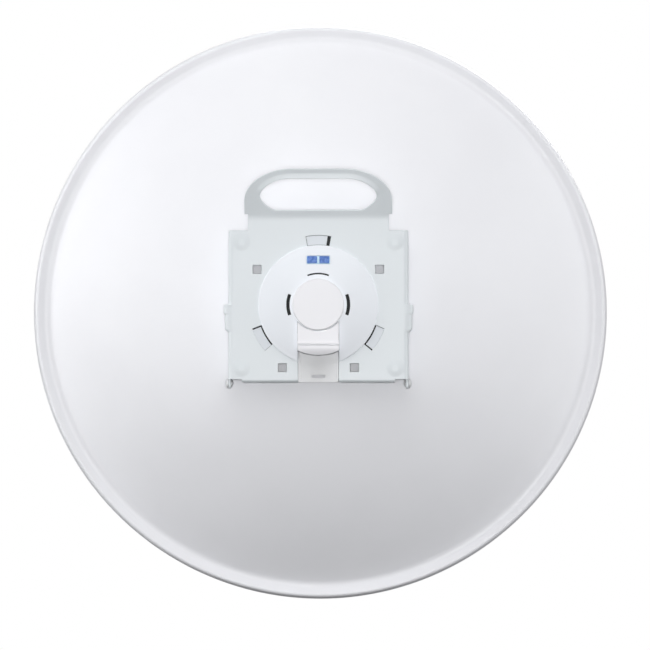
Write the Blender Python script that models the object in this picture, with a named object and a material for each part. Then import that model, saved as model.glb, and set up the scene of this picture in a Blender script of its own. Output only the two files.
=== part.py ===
"""Wireless bridge dish antenna, seen from behind in its reference view.

Metres, +Z up, +Y along the boresight: the bowl opens towards +Y, and the back plate faces -Y.
The origin is on the back plate's flat rear face, on the centre line above the top lock slot,
where a pole bracket bears. Every shape below is written about the hub's axis, with y = 0 on
that rear face, and hangs on one empty that carries the hub axis to its place.
"""

import math

import bmesh
import bpy
from mathutils import Vector
from mathutils.geometry import delaunay_2d_cdt

# The hub's axis lies this far below the origin.
HUB_DROP = 0.066
# Clearance between pieces that touch.
SEAT = 0.0003

# Reflector: a pressed parabolic bowl with a flat hub, a flat rim flange and a rolled edge.
DISH_RADIUS = 0.260
FOCAL_LENGTH = 0.172
VERTEX_Y = 0.018
BOWL_SHEET = 0.0015
HUB_FLAT_RADIUS = 0.046
HUB_HOLE_RADIUS = 0.0275
BOWL_EDGE_RADIUS = 0.248
RIM_ROLL = 0.004
RIM_SKIRT = 0.008
BOWL_STEPS = 10
BOWL_SEGMENTS = 72

# Back plate: one steel blank, folded at both sides, the bottom and the handle.
PLATE_SHEET = 0.002
FACE_HALF_WIDTH = 0.0737
FACE_TOP = 0.065
FACE_BOTTOM = -0.0642
FOLD_RADIUS = 0.0043
FOLD_LENGTH = FOLD_RADIUS * math.pi / 2
BOTTOM_FOLD_RADIUS = 0.0026
BOTTOM_FOLD_LENGTH = BOTTOM_FOLD_RADIUS * math.pi / 2
FOLD_STEPS = 3
FLANGE_X = FACE_HALF_WIDTH + FOLD_RADIUS
FLANGE_Z = FACE_BOTTOM - BOTTOM_FOLD_RADIUS
FLANGE_EDGE_GAP = 0.0005
CHANNEL_HALF_WIDTH = 0.0176
BOTTOM_FLANGE_HALF_WIDTH = 0.069
PLATE_BORE = 0.0495
LOCK_SLOT_RADIUS = 0.0607
LOCK_SLOT_HALF_ANGLE = 10.5
LOCK_SLOT_ANGLES = (90.0, 210.0, 330.0)
BOLT_HOLE_HALF = 0.00375
BOLT_HOLES = ((0.0531, 0.031), (0.0312, -0.0542))
BLISTER_X = 0.0665
BLISTER_Z = 0.0546
BLISTER_RADIUS = 0.007
BLISTER_TOP_RADIUS = 0.0045
BLISTER_HEIGHT = 0.0018

# The ear pressed out of each side flange: height along the flange, and how far it stands out.
EAR_PROFILE = (
    (0.0010, 0.0),
    (0.0, 0.0042),
    (-0.0070, 0.0042),
    (-0.0080, 0.0030),
    (-0.0210, 0.0030),
    (-0.0235, 0.0),
)

# The tongue that each side flange ends in, with a rivet through it.
TONGUE_REAR = 0.0054
TONGUE_FRONT = 0.0169
TONGUE_BOTTOM = -0.072
TONGUE_CORNER = 0.002
RIVET_Y = 0.0111
RIVET_Z = -0.0675
RIVET_HOLE_RADIUS = 0.0026
RIVET_HEAD_RADIUS = 0.0044
RIVET_HEAD = 0.0025

# Carry handle: the blank's top, folded back by this angle.
HANDLE_LEAN = math.radians(25)
HANDLE_FOLD_Z = 0.0725
HANDLE_FOLD_RADIUS = 0.015
HANDLE_FOLD_LENGTH = HANDLE_FOLD_RADIUS * HANDLE_LEAN
HANDLE_FOOT = HANDLE_FOLD_Z + HANDLE_FOLD_LENGTH
NECK_HALF_WIDTH = 0.061
HANDLE_HALF_WIDTH = 0.064
HANDLE_SIDE = 0.0118
HANDLE_LENGTH = 0.0414
HANDLE_TOP_FLAT = 0.0217
GRIP_BOTTOM = 0.0036
GRIP_WIDEST = 0.0156
GRIP_TOP = 0.0314
GRIP_HALF_WIDTH = 0.0505
GRIP_BOTTOM_FLAT = 0.0399
GRIP_TOP_FLAT = 0.023
# The grip opening's edge curls towards the bowl with this radius.
LIP_RADIUS = 0.003
LIP_RINGS = (0.0004, 0.001, 0.0019, 0.003)

# Feed housing on the hub, behind the bowl.
BODY_RADIUS = 0.0433
BODY_REAR_Y = 0.001
BODY_FRONT_Y = 0.0188
NECK_RADIUS = 0.0268
NECK_FRONT_Y = 0.0290
CHANNEL_FLOOR_Y = 0.004
CHANNEL_TOP_Z = -0.0125
DOME_RADIUS = 0.052
DOME_EDGE_Y = -0.0016
DOME_CURVE_RADIUS = 0.050
DOME_CURVE_Y = -0.0025
DOME_TOP_RADIUS = 0.0226
DOME_TOP_Y = -0.0093
DOME_WALL = 0.0024
DOME_CUT_HALF_WIDTH = 0.0181
ARC_SLOT_INNER = 0.0234
ARC_SLOT_OUTER = 0.0277
ARC_SLOT_HALF_ANGLE = 20.0
DISC_RADIUS = 0.0223
DISC_REAR_Y = -0.013
DISC_EDGE = 0.001

# Port cover, the network jack under it and the cable channel below it.
COVER_HALF_WIDTH = 0.0178
COVER_WALL = 0.002
COVER_REAR_Y = -0.012
COVER_LIP_Z = -0.0338
COVER_LIP_HEIGHT = 0.0016
COVER_LIP_PROUD = 0.0006
# Under the lip a groove, and then a chin that slopes down to the drum's edge.
GROOVE_Y = -0.0105
CHIN_TOP_Y = -0.0113
CHIN_TOP_Z = -0.0353
CHIN_END_Y = -0.0078
CHIN_END_Z = -0.0446
JACK_HALF_WIDTH = 0.008
JACK_TOP_Z = -0.0140
JACK_MOUTH_Z = -0.0318
JACK_REAR_Y = -0.0064
SOCKET_HALF_WIDTH = 0.0059
SOCKET_HEIGHT = 0.0081
SOCKET_DEPTH = 0.0125
SOCKET_Y = -0.0053
TRAY_HALF_WIDTH = 0.0173
TRAY_WALL = 0.0013
TRAY_FLOOR_Y = 0.008
TRAY_SHEET = 0.0015
TRAY_BOTTOM_Z = -0.0665
TIE_SLOT_Z = -0.0615
TIE_SLOT_HALF_LENGTH = 0.006
TIE_SLOT_HALF_WIDTH = 0.0013

# Lock ring in front of the plate, with a tab in each lock slot.
RING_OUTER = 0.0545
RING_FRONT_Y = 0.0048
TAB_INNER = 0.0530
TAB_OUTER = 0.0601
TAB_REAR_Y = 0.0006
TAB_START_ANGLE = -7.6
TAB_END_ANGLE = 9.9

# Status window on the dome's slope, under the top lock slot.
WINDOW_Z = 0.039
WINDOW_HALF_WIDTH = 0.0100
WINDOW_HALF_HEIGHT = 0.0036
WINDOW_THICKNESS = 0.0008
WINDOW_SUNK = 0.0008
LENS_HALF_WIDTH = 0.0040
LENS_HALF_HEIGHT = 0.0032
LENS_X = 0.0052
LENS_THICKNESS = 0.0007

# Feed on the boresight, in the bowl.
COLLAR_RADIUS = 0.038
COLLAR_FRONT_Y = 0.0288
TUBE_BASE_RADIUS = 0.0285
TUBE_RADIUS = 0.0245
TUBE_TIP_RADIUS = 0.0230
TUBE_FRONT_Y = 0.150
BAND_RADIUS = 0.0255
BAND_FRONT_Y = 0.1560
CAP_BASE_RADIUS = 0.0265
CAP_RADIUS = 0.0360
CAP_SHOULDER_Y = 0.1760
CAP_FRONT_Y = 0.2000
STANDOFF_RADIUS = 0.006


# Scene, materials and objects

def clear_scene():
    for thing in list(bpy.data.objects):
        bpy.data.objects.remove(thing, do_unlink=True)


def material(name, colour, roughness, metallic=0.0):
    made = bpy.data.materials.new(name)
    made.use_nodes = True
    shader = made.node_tree.nodes["Principled BSDF"]
    shader.inputs["Base Color"].default_value = (*colour, 1.0)
    shader.inputs["Roughness"].default_value = roughness
    shader.inputs["Metallic"].default_value = metallic
    return made


def hub_axis():
    """The empty that carries every piece: at the hub's axis, on the plate's rear face."""
    axis = bpy.data.objects.new("hub_axis", None)
    axis.location = (0.0, 0.0, -HUB_DROP)
    bpy.context.scene.collection.objects.link(axis)
    return axis


def add_piece(name, mesh, finish=None, location=(0.0, 0.0, 0.0)):
    piece = bpy.data.objects.new(name, mesh)
    piece.location = location
    if finish:
        mesh.materials.append(finish)
        piece.parent = AXIS
        mesh.shade_smooth()
        mesh.set_sharp_from_angle(angle=math.radians(32))
    bpy.context.scene.collection.objects.link(piece)
    return piece


def mesh_of(shape, name):
    shape.normal_update()
    bmesh.ops.recalc_face_normals(shape, faces=shape.faces)
    mesh = bpy.data.meshes.new(name)
    shape.to_mesh(mesh)
    shape.free()
    return mesh


# Shape helpers

def arc(centre, radii, start, end, steps):
    """Points of an ellipse's arc, from one angle in degrees to another."""
    points = []
    for step in range(steps + 1):
        angle = math.radians(start + (end - start) * step / steps)
        points.append((centre[0] + radii[0] * math.cos(angle), centre[1] + radii[1] * math.sin(angle)))
    return points


def mirrored(points):
    return [(-x, z) for x, z in reversed(points)]


def turned(name, profile, segments=40):
    """A closed profile of (radius, y) points, turned about the hub's axis."""
    shape = bmesh.new()
    corners = [shape.verts.new((radius, y, 0.0)) for radius, y in profile]
    for here, after in zip(corners, corners[1:] + corners[:1]):
        if here.co.x > 0.0 or after.co.x > 0.0:
            shape.edges.new((here, after))
    bmesh.ops.spin(
        shape,
        geom=shape.verts[:] + shape.edges[:],
        cent=(0.0, 0.0, 0.0),
        axis=(0.0, 1.0, 0.0),
        angle=2 * math.pi,
        steps=segments,
        use_merge=True,
    )
    bmesh.ops.remove_doubles(shape, verts=shape.verts, dist=1e-6)
    return mesh_of(shape, name)


def drawn_out(name, corners, way):
    """A flat outline of corners, drawn out along a vector."""
    shape = bmesh.new()
    face = shape.faces.new([shape.verts.new(corner) for corner in corners])
    far_end = bmesh.ops.extrude_face_region(shape, geom=[face])
    moved = [item for item in far_end["geom"] if isinstance(item, bmesh.types.BMVert)]
    bmesh.ops.translate(shape, verts=moved, vec=way)
    return mesh_of(shape, name)


def prism(name, outline, rear, front):
    """An outline of (x, z) points, drawn out along y."""
    return drawn_out(name, [(x, rear, z) for x, z in outline], (0.0, front - rear, 0.0))


def slab(name, profile, half_width):
    """A profile of (y, z) points, drawn out across x."""
    corners = [(-half_width, y, z) for y, z in profile]
    return drawn_out(name, corners, (2 * half_width, 0.0, 0.0))


def block(half_width, low, high):
    """The outline of a rectangle centred on x = 0."""
    return [(-half_width, low), (half_width, low), (half_width, high), (-half_width, high)]


def combined(mesh, other, operation):
    """One Boolean, worked out at once: a mesh joined with another, or cut by it."""
    piece = add_piece("base", mesh)
    tool = add_piece("tool", other)
    step = piece.modifiers.new("step", "BOOLEAN")
    step.operation = operation
    step.object = tool
    bpy.context.view_layer.update()
    result = bpy.data.meshes.new_from_object(
        piece.evaluated_get(bpy.context.evaluated_depsgraph_get())
    )
    bpy.data.objects.remove(piece)
    bpy.data.objects.remove(tool)
    return result


def cut(mesh, *cutters):
    for cutter in cutters:
        mesh = combined(mesh, cutter, "DIFFERENCE")
    return mesh


def joined(mesh, *others):
    for other in others:
        mesh = combined(mesh, other, "UNION")
    return mesh


def tilted(mesh, angle, centre):
    """The mesh turned about the x axis through the origin, then carried to a centre."""
    shape = bmesh.new()
    shape.from_mesh(mesh)
    for vert in shape.verts:
        x, y, z = vert.co
        vert.co = (
            x,
            y * math.cos(angle) - z * math.sin(angle),
            y * math.sin(angle) + z * math.cos(angle),
        )
    bmesh.ops.translate(shape, verts=shape.verts, vec=centre)
    return mesh_of(shape, mesh.name)


# Reflector

def bowl_y(radius):
    """The bowl's rear surface."""
    return VERTEX_Y + max(radius, HUB_FLAT_RADIUS) ** 2 / (4 * FOCAL_LENGTH)


def rim_points(roll, skirt_radius, skirt_front):
    """The flat rim flange, its rolled edge and the skirt, from the bowl's edge outwards."""
    flange_y = bowl_y(BOWL_EDGE_RADIUS)
    roll_radius = DISH_RADIUS - RIM_ROLL
    roll_y = flange_y + RIM_ROLL
    curve = arc((roll_radius, roll_y), (roll, roll), -90, 0, 4)
    return curve + [(skirt_radius, skirt_front)]


def make_reflector(finish):
    steps = [
        HUB_FLAT_RADIUS + (BOWL_EDGE_RADIUS - HUB_FLAT_RADIUS) * step / BOWL_STEPS
        for step in range(BOWL_STEPS + 1)
    ]
    skirt_front = bowl_y(BOWL_EDGE_RADIUS) + RIM_ROLL + RIM_SKIRT
    rear = [(HUB_HOLE_RADIUS, bowl_y(0.0))]
    rear += [(radius, bowl_y(radius)) for radius in steps]
    rear += rim_points(RIM_ROLL, DISH_RADIUS, skirt_front)
    front = [(HUB_HOLE_RADIUS, bowl_y(0.0) + BOWL_SHEET)]
    front += [(radius, bowl_y(radius) + BOWL_SHEET) for radius in steps]
    front += rim_points(RIM_ROLL - BOWL_SHEET, DISH_RADIUS - BOWL_SHEET, skirt_front)
    add_piece("reflector", turned("reflector", rear + front[::-1], BOWL_SEGMENTS), finish)


# Back plate

def grip_outline():
    """The finger opening in the blank, anticlockwise from its lower left corner."""
    low = HANDLE_FOOT + GRIP_BOTTOM
    middle = HANDLE_FOOT + GRIP_WIDEST
    top = HANDLE_FOOT + GRIP_TOP
    lower_radii = (GRIP_HALF_WIDTH - GRIP_BOTTOM_FLAT, middle - low)
    upper_radii = (GRIP_HALF_WIDTH - GRIP_TOP_FLAT, top - middle)
    right = arc((GRIP_BOTTOM_FLAT, middle), lower_radii, -90, 0, 5)
    right += arc((GRIP_TOP_FLAT, middle), upper_radii, 0, 90, 7)[1:]
    return right + mirrored(right)


def offset_loop(loop, distance):
    """A closed anticlockwise loop moved outwards."""
    moved = []
    for index, point in enumerate(loop):
        before = loop[index - 1]
        after = loop[(index + 1) % len(loop)]
        along = Vector((after[0] - before[0], after[1] - before[1])).normalized()
        moved.append((point[0] + along.y * distance, point[1] - along.x * distance))
    return moved


def distance_to_loop(point, loop):
    nearest = 1.0
    for start, end in zip(loop, loop[1:] + loop[:1]):
        side = Vector(end) - Vector(start)
        reach = Vector(point) - Vector(start)
        share = min(max(reach.dot(side) / side.length_squared, 0.0), 1.0)
        nearest = min(nearest, (reach - side * share).length)
    return nearest


def is_inside(point, loop):
    inside = False
    for (x1, z1), (x2, z2) in zip(loop, loop[1:] + loop[:1]):
        if (z1 > point[1]) != (z2 > point[1]):
            if point[0] < x1 + (x2 - x1) * (point[1] - z1) / (z2 - z1):
                inside = not inside
    return inside


def ear_reach(height):
    """How far a side flange stands out at a height, for its pressed ear."""
    for (high, reach_high), (low, reach_low) in zip(EAR_PROFILE, EAR_PROFILE[1:]):
        if low <= height <= high:
            share = (high - height) / (high - low)
            return reach_high + (reach_low - reach_high) * share
    return 0.0


def blister_height(across, up):
    away = math.hypot(abs(across) - BLISTER_X, abs(up) - BLISTER_Z)
    share = (BLISTER_RADIUS - away) / (BLISTER_RADIUS - BLISTER_TOP_RADIUS)
    return BLISTER_HEIGHT * min(max(share, 0.0), 1.0)


def lip_depth(across, up):
    """How far the grip opening's curled edge dips towards the bowl."""
    if up < HANDLE_FOOT:
        return 0.0
    away = min(distance_to_loop((across, up), grip_outline()), LIP_RADIUS)
    return LIP_RADIUS - math.sqrt(LIP_RADIUS**2 - (LIP_RADIUS - away) ** 2)


def fold(past, radius, most):
    """How a fold carries a point that lies this far past its start: (onwards, aside, angle)."""
    angle = min(past / radius, most)
    straight = past - radius * angle
    onwards = radius * math.sin(angle) + straight * math.cos(angle)
    aside = radius * (1 - math.cos(angle)) + straight * math.sin(angle)
    return onwards, aside, angle


def folded(across, up):
    """Where a point of the flat blank lies on the folded plate's rear face."""
    side = 1.0 if across > 0.0 else -1.0
    if abs(across) > FACE_HALF_WIDTH:
        onwards, aside, angle = fold(abs(across) - FACE_HALF_WIDTH, FOLD_RADIUS, math.pi / 2)
        reach = ear_reach(up) * math.sin(angle)
        return Vector((side * (FACE_HALF_WIDTH + onwards + reach), aside, up))
    if up < FACE_BOTTOM:
        onwards, aside, _ = fold(FACE_BOTTOM - up, BOTTOM_FOLD_RADIUS, math.pi / 2)
        return Vector((across, aside, FACE_BOTTOM - onwards))
    if up > HANDLE_FOLD_Z:
        onwards, aside, angle = fold(up - HANDLE_FOLD_Z, HANDLE_FOLD_RADIUS, HANDLE_LEAN)
        dip = lip_depth(across, up)
        return Vector(
            (
                across,
                dip * math.cos(angle) - aside,
                HANDLE_FOLD_Z + onwards + dip * math.sin(angle),
            )
        )
    return Vector((across, -blister_height(across, up), up))


def sheet_normal(across, up):
    """The plate's normal at a point of the blank, towards its front face."""
    step = 2e-5
    sideways = folded(across + step, up) - folded(across - step, up)
    upwards = folded(across, up + step) - folded(across, up - step)
    return upwards.cross(sideways).normalized()


def flange_edge(height):
    """The blank's outer edge on a side flange: the folded flange ends just short of the bowl."""
    reach = bowl_y(math.hypot(FLANGE_X, height)) - FLANGE_EDGE_GAP - FOLD_RADIUS
    return FACE_HALF_WIDTH + FOLD_LENGTH + reach


def bottom_edge(across):
    reach = bowl_y(math.hypot(across, FLANGE_Z)) - FLANGE_EDGE_GAP - BOTTOM_FOLD_RADIUS
    return FACE_BOTTOM - BOTTOM_FOLD_LENGTH - reach


def flange_place(y):
    """Where on the blank a side flange reaches a given y."""
    return FACE_HALF_WIDTH + FOLD_LENGTH + y - FOLD_RADIUS


def blank_outline():
    """The blank's outer edge, anticlockwise, down the cable channel and round the bore too."""
    right = []
    for step in range(6):
        across = CHANNEL_HALF_WIDTH + (BOTTOM_FLANGE_HALF_WIDTH - CHANNEL_HALF_WIDTH) * step / 5
        right.append((across, bottom_edge(across)))
    rear = flange_place(TONGUE_REAR)
    front = flange_place(TONGUE_FRONT)
    right += [(BOTTOM_FLANGE_HALF_WIDTH, FACE_BOTTOM), (rear, FACE_BOTTOM)]
    right += [(rear, TONGUE_BOTTOM + TONGUE_CORNER), (rear + TONGUE_CORNER, TONGUE_BOTTOM)]
    right += [(front - TONGUE_CORNER, TONGUE_BOTTOM), (front, TONGUE_BOTTOM + TONGUE_CORNER)]
    right.append((front, FACE_BOTTOM))
    for step in range(9):
        height = FACE_BOTTOM + (FACE_TOP - FACE_BOTTOM) * step / 8
        right.append((flange_edge(height), height))
    right += [(NECK_HALF_WIDTH, FACE_TOP), (NECK_HALF_WIDTH, HANDLE_FOOT)]
    right += [(HANDLE_HALF_WIDTH, HANDLE_FOOT)]
    corner = (HANDLE_TOP_FLAT, HANDLE_FOOT + HANDLE_SIDE)
    radii = (HANDLE_HALF_WIDTH - HANDLE_TOP_FLAT, HANDLE_LENGTH - HANDLE_SIDE)
    right += arc(corner, radii, 0, 90, 9)
    return right + mirrored(right) + bore_outline()


def bore_outline():
    """The plate's bore with its lock slots, clockwise from one side of the channel."""
    opening = math.degrees(math.asin(CHANNEL_HALF_WIDTH / PLATE_BORE))
    stops = [(270.0 - opening, PLATE_BORE)]
    for middle in (210.0, 90.0, -30.0):
        stops += [(middle + LOCK_SLOT_HALF_ANGLE, PLATE_BORE)]
        stops += [(middle + LOCK_SLOT_HALF_ANGLE, LOCK_SLOT_RADIUS)]
        stops += [(middle - LOCK_SLOT_HALF_ANGLE, LOCK_SLOT_RADIUS)]
        stops += [(middle - LOCK_SLOT_HALF_ANGLE, PLATE_BORE)]
    stops += [(opening - 90.0, PLATE_BORE)]
    points = []
    for (start, radius), (end, _) in zip(stops, stops[1:]):
        steps = max(1, round((start - end) / 7.5))
        points += arc((0.0, 0.0), (radius, radius), start, end, steps)[: steps if start != end else 1]
    last, radius = stops[-1]
    return points + arc((0.0, 0.0), (radius, radius), last, last, 1)[:1]


def blank_holes():
    holes = [grip_outline()]
    for side in (-1, 1):
        for across, up in BOLT_HOLES:
            half = BOLT_HOLE_HALF
            middle = side * across
            holes.append(
                [
                    (middle - half, up - half),
                    (middle + half, up - half),
                    (middle + half, up + half),
                    (middle - half, up + half),
                ]
            )
        centre = (side * flange_place(RIVET_Y), RIVET_Z)
        radii = (RIVET_HOLE_RADIUS, RIVET_HOLE_RADIUS)
        holes.append(arc(centre, radii, 0, 360, 10)[:-1])
    return holes


def blank_rings():
    """Closed creases: round the blisters and along the grip opening's lip."""
    rings = [offset_loop(grip_outline(), distance) for distance in LIP_RINGS]
    for across in (-BLISTER_X, BLISTER_X):
        for up in (-BLISTER_Z, BLISTER_Z):
            for radius in (BLISTER_RADIUS, BLISTER_TOP_RADIUS):
                rings.append(arc((across, up), (radius, radius), 0, 360, 14)[:-1])
    return rings


def blank_creases():
    """Straight creases across the folds and the ears, each a little longer than the blank."""
    over = 0.001
    creases = []
    for step in range(FOLD_STEPS + 1):
        share = step / FOLD_STEPS
        low = FACE_BOTTOM - BOTTOM_FOLD_LENGTH * share
        creases.append(((-BOTTOM_FLANGE_HALF_WIDTH - over, low), (BOTTOM_FLANGE_HALF_WIDTH + over, low)))
        for side in (-1, 1):
            across = side * (FACE_HALF_WIDTH + FOLD_LENGTH * share)
            creases.append(((across, FACE_BOTTOM - over), (across, FACE_TOP + over)))
        up = HANDLE_FOLD_Z + HANDLE_FOLD_LENGTH * share
        creases.append(((-HANDLE_HALF_WIDTH - over, up), (HANDLE_HALF_WIDTH + over, up)))
    for height, _ in EAR_PROFILE:
        for side in (-1, 1):
            outer = side * (flange_edge(height) + over)
            creases.append(((side * FACE_HALF_WIDTH, height), (outer, height)))
    return creases


def blank_triangles():
    """The flat blank cut into triangles along its creases: (points, triangles)."""
    outline = blank_outline()
    holes = blank_holes()
    points = []
    edges = []
    for loop in [outline] + holes + blank_rings():
        first = len(points)
        points += [Vector(point) for point in loop]
        edges += [(first + step, first + (step + 1) % len(loop)) for step in range(len(loop))]
    for start, end in blank_creases():
        edges.append((len(points), len(points) + 1))
        points += [Vector(start), Vector(end)]
    found, _, faces, *_ = delaunay_2d_cdt(points, edges, [], 0, 1e-7)
    kept = []
    for face in faces:
        middle = sum((found[index] for index in face), Vector((0.0, 0.0))) / 3
        if is_inside(middle, outline) and not any(is_inside(middle, hole) for hole in holes):
            kept.append(tuple(face))
    return found, kept


def make_back_plate(finish):
    points, faces = blank_triangles()
    used = sorted({index for face in faces for index in face})
    shape = bmesh.new()
    rear = {}
    front = {}
    for index in used:
        across, up = points[index]
        place = folded(across, up)
        rear[index] = shape.verts.new(place)
        front[index] = shape.verts.new(place + sheet_normal(across, up) * PLATE_SHEET)
    sides = set()
    for a, b, c in faces:
        shape.faces.new((rear[a], rear[b], rear[c]))
        shape.faces.new((front[c], front[b], front[a]))
        for edge in ((a, b), (b, c), (c, a)):
            if edge[::-1] in sides:
                sides.remove(edge[::-1])
            else:
                sides.add(edge)
    for a, b in sorted(sides):
        shape.faces.new((rear[b], rear[a], front[a], front[b]))
    add_piece("back_plate", mesh_of(shape, "back_plate"), finish)


def make_rivets(finish):
    """One through each side flange's tongue, turned about its own axis along x."""
    inner = PLATE_SHEET + SEAT
    shank = RIVET_HOLE_RADIUS - SEAT
    profile = [
        (0.0, SEAT + RIVET_HEAD),
        (RIVET_HEAD_RADIUS * 0.7, SEAT + RIVET_HEAD),
        (RIVET_HEAD_RADIUS, SEAT + RIVET_HEAD * 0.6),
        (RIVET_HEAD_RADIUS, SEAT),
        (shank, SEAT),
        (shank, -inner),
        (RIVET_HEAD_RADIUS, -inner),
        (RIVET_HEAD_RADIUS, -inner - RIVET_HEAD * 0.6),
        (RIVET_HEAD_RADIUS * 0.7, -inner - RIVET_HEAD),
        (0.0, -inner - RIVET_HEAD),
    ]
    for name, side in (("flange_rivet_left", -1), ("flange_rivet_right", 1)):
        place = (side * FLANGE_X, RIVET_Y, RIVET_Z)
        rivet = add_piece(name, turned(name, profile, 20), finish, place)
        rivet.rotation_euler = (0.0, 0.0, -side * math.pi / 2)


def make_standoffs(finish):
    """Posts from the plate's blisters to the bowl, their ends cut to the bowl's curve."""
    rear_y = PLATE_SHEET + SEAT
    for side, across in (("left", -BLISTER_X), ("right", BLISTER_X)):
        for level, up in (("upper", BLISTER_Z), ("lower", -BLISTER_Z)):
            name = f"standoff_{level}_{side}"
            shape = bmesh.new()
            bmesh.ops.create_cone(
                shape,
                cap_ends=True,
                cap_tris=True,
                segments=18,
                radius1=STANDOFF_RADIUS,
                radius2=STANDOFF_RADIUS,
                depth=1.0,
            )
            for vert in shape.verts:
                x, z, end = vert.co
                reach = bowl_y(math.hypot(across + x, up + z)) - SEAT
                vert.co = (x, reach if end > 0.0 else rear_y, z)
            add_piece(name, mesh_of(shape, name), finish, (across, 0.0, up))


# Feed housing

def circle_foot(half_width, radius):
    """The lowest stretch of a circle about the hub, from a channel's left side to its right."""
    reach = math.degrees(math.asin(half_width / radius))
    return arc((0.0, 0.0), (radius, radius), -reach - 90, reach - 90, 10)


def channel_outline(half_width, radius, low):
    """A channel's outline: straight sides and bottom, and a top cut to a circle about the hub."""
    return [(-half_width, low), (half_width, low)] + circle_foot(half_width, radius)[::-1]


def make_housing_body(finish):
    """The hub's drum, its neck through the bowl and the channel for the plug in its rear."""
    profile = [
        (0.0, BODY_REAR_Y),
        (BODY_RADIUS, BODY_REAR_Y),
        (BODY_RADIUS, BODY_FRONT_Y),
        (NECK_RADIUS, BODY_FRONT_Y),
        (NECK_RADIUS, NECK_FRONT_Y),
        (0.0, NECK_FRONT_Y),
    ]
    beyond = 1.5 * BODY_RADIUS
    channel = prism("channel", block(DOME_CUT_HALF_WIDTH, -beyond, CHANNEL_TOP_Z), -0.01, CHANNEL_FLOOR_Y)
    body = cut(turned("housing_body", profile, 48), channel)
    add_piece("housing_body", body, finish)


def dome_y(radius):
    """The dome's rear surface, a shallow spherical cap about a flat top."""
    share = (radius**2 - DOME_TOP_RADIUS**2) / (DOME_CURVE_RADIUS**2 - DOME_TOP_RADIUS**2)
    return DOME_TOP_Y + (DOME_CURVE_Y - DOME_TOP_Y) * max(share, 0.0)


def arc_slot(middle):
    start = middle - ARC_SLOT_HALF_ANGLE
    end = middle + ARC_SLOT_HALF_ANGLE
    outer = arc((0.0, 0.0), (ARC_SLOT_OUTER, ARC_SLOT_OUTER), start, end, 6)
    inner = arc((0.0, 0.0), (ARC_SLOT_INNER, ARC_SLOT_INNER), end, start, 6)
    return prism("arc_slot", outer + inner, 2 * DOME_TOP_Y, 0.01)


def window_frame():
    """The status window's slope and the point of the dome's surface under its middle."""
    step = 0.001
    slope = (dome_y(WINDOW_Z + step) - dome_y(WINDOW_Z - step)) / (2 * step)
    return -math.atan(slope), (0.0, dome_y(WINDOW_Z), WINDOW_Z)


def make_housing_dome(finish):
    steps = 7
    radii = [
        DOME_TOP_RADIUS + (DOME_CURVE_RADIUS - DOME_TOP_RADIUS) * step / steps
        for step in range(steps + 1)
    ]
    profile = [(0.0, DOME_TOP_Y)]
    profile += [(radius, dome_y(radius)) for radius in radii]
    profile += [(DOME_RADIUS, DOME_EDGE_Y), (DOME_RADIUS, -SEAT)]
    profile += [(radii[-1] - DOME_WALL, -SEAT)]
    profile += [(radius - DOME_WALL / 3, dome_y(radius) + DOME_WALL) for radius in radii[-2::-1]]
    profile += [(0.0, DOME_TOP_Y + DOME_WALL)]
    dome = turned("housing_dome", profile, 64)
    beyond = 1.2 * DOME_RADIUS
    channel = channel_outline(DOME_CUT_HALF_WIDTH, DOME_TOP_RADIUS + SEAT, -beyond)
    cutters = [prism("channel", channel, 2 * DOME_TOP_Y, 0.01)]
    cutters += [arc_slot(middle) for middle in (0.0, 90.0, 180.0)]
    angle, centre = window_frame()
    pocket = prism(
        "pocket",
        block(WINDOW_HALF_WIDTH + SEAT, -WINDOW_HALF_HEIGHT - SEAT, WINDOW_HALF_HEIGHT + SEAT),
        -0.004,
        WINDOW_SUNK + WINDOW_THICKNESS,
    )
    cutters.append(tilted(pocket, angle, centre))
    add_piece("housing_dome", cut(dome, *cutters), finish)


def make_end_disc(finish):
    profile = [
        (0.0, DISC_REAR_Y),
        (DISC_RADIUS - DISC_EDGE, DISC_REAR_Y),
        (DISC_RADIUS - 0.3 * DISC_EDGE, DISC_REAR_Y + 0.3 * DISC_EDGE),
        (DISC_RADIUS, DISC_REAR_Y + DISC_EDGE),
        (DISC_RADIUS, DOME_TOP_Y - SEAT),
        (0.0, DOME_TOP_Y - SEAT),
    ]
    add_piece("end_disc", turned("end_disc", profile, 48), finish)


def cover_profile(inwards, front):
    """The cover's rear from its top to its chin, in (y, z), closed along a flat front."""
    profile = [(front, 0.0), (COVER_REAR_Y + inwards, 0.0)]
    profile += [(COVER_REAR_Y + inwards, COVER_LIP_Z + inwards)]
    profile += [(GROOVE_Y + 0.75 * inwards, COVER_LIP_Z + inwards / 2)]
    profile += [(GROOVE_Y + 0.75 * inwards, CHIN_TOP_Z + COVER_LIP_PROUD)]
    profile += [(CHIN_TOP_Y + inwards, CHIN_TOP_Z), (CHIN_END_Y + inwards, CHIN_END_Z)]
    return profile + [(front, CHIN_END_Z)]


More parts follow.
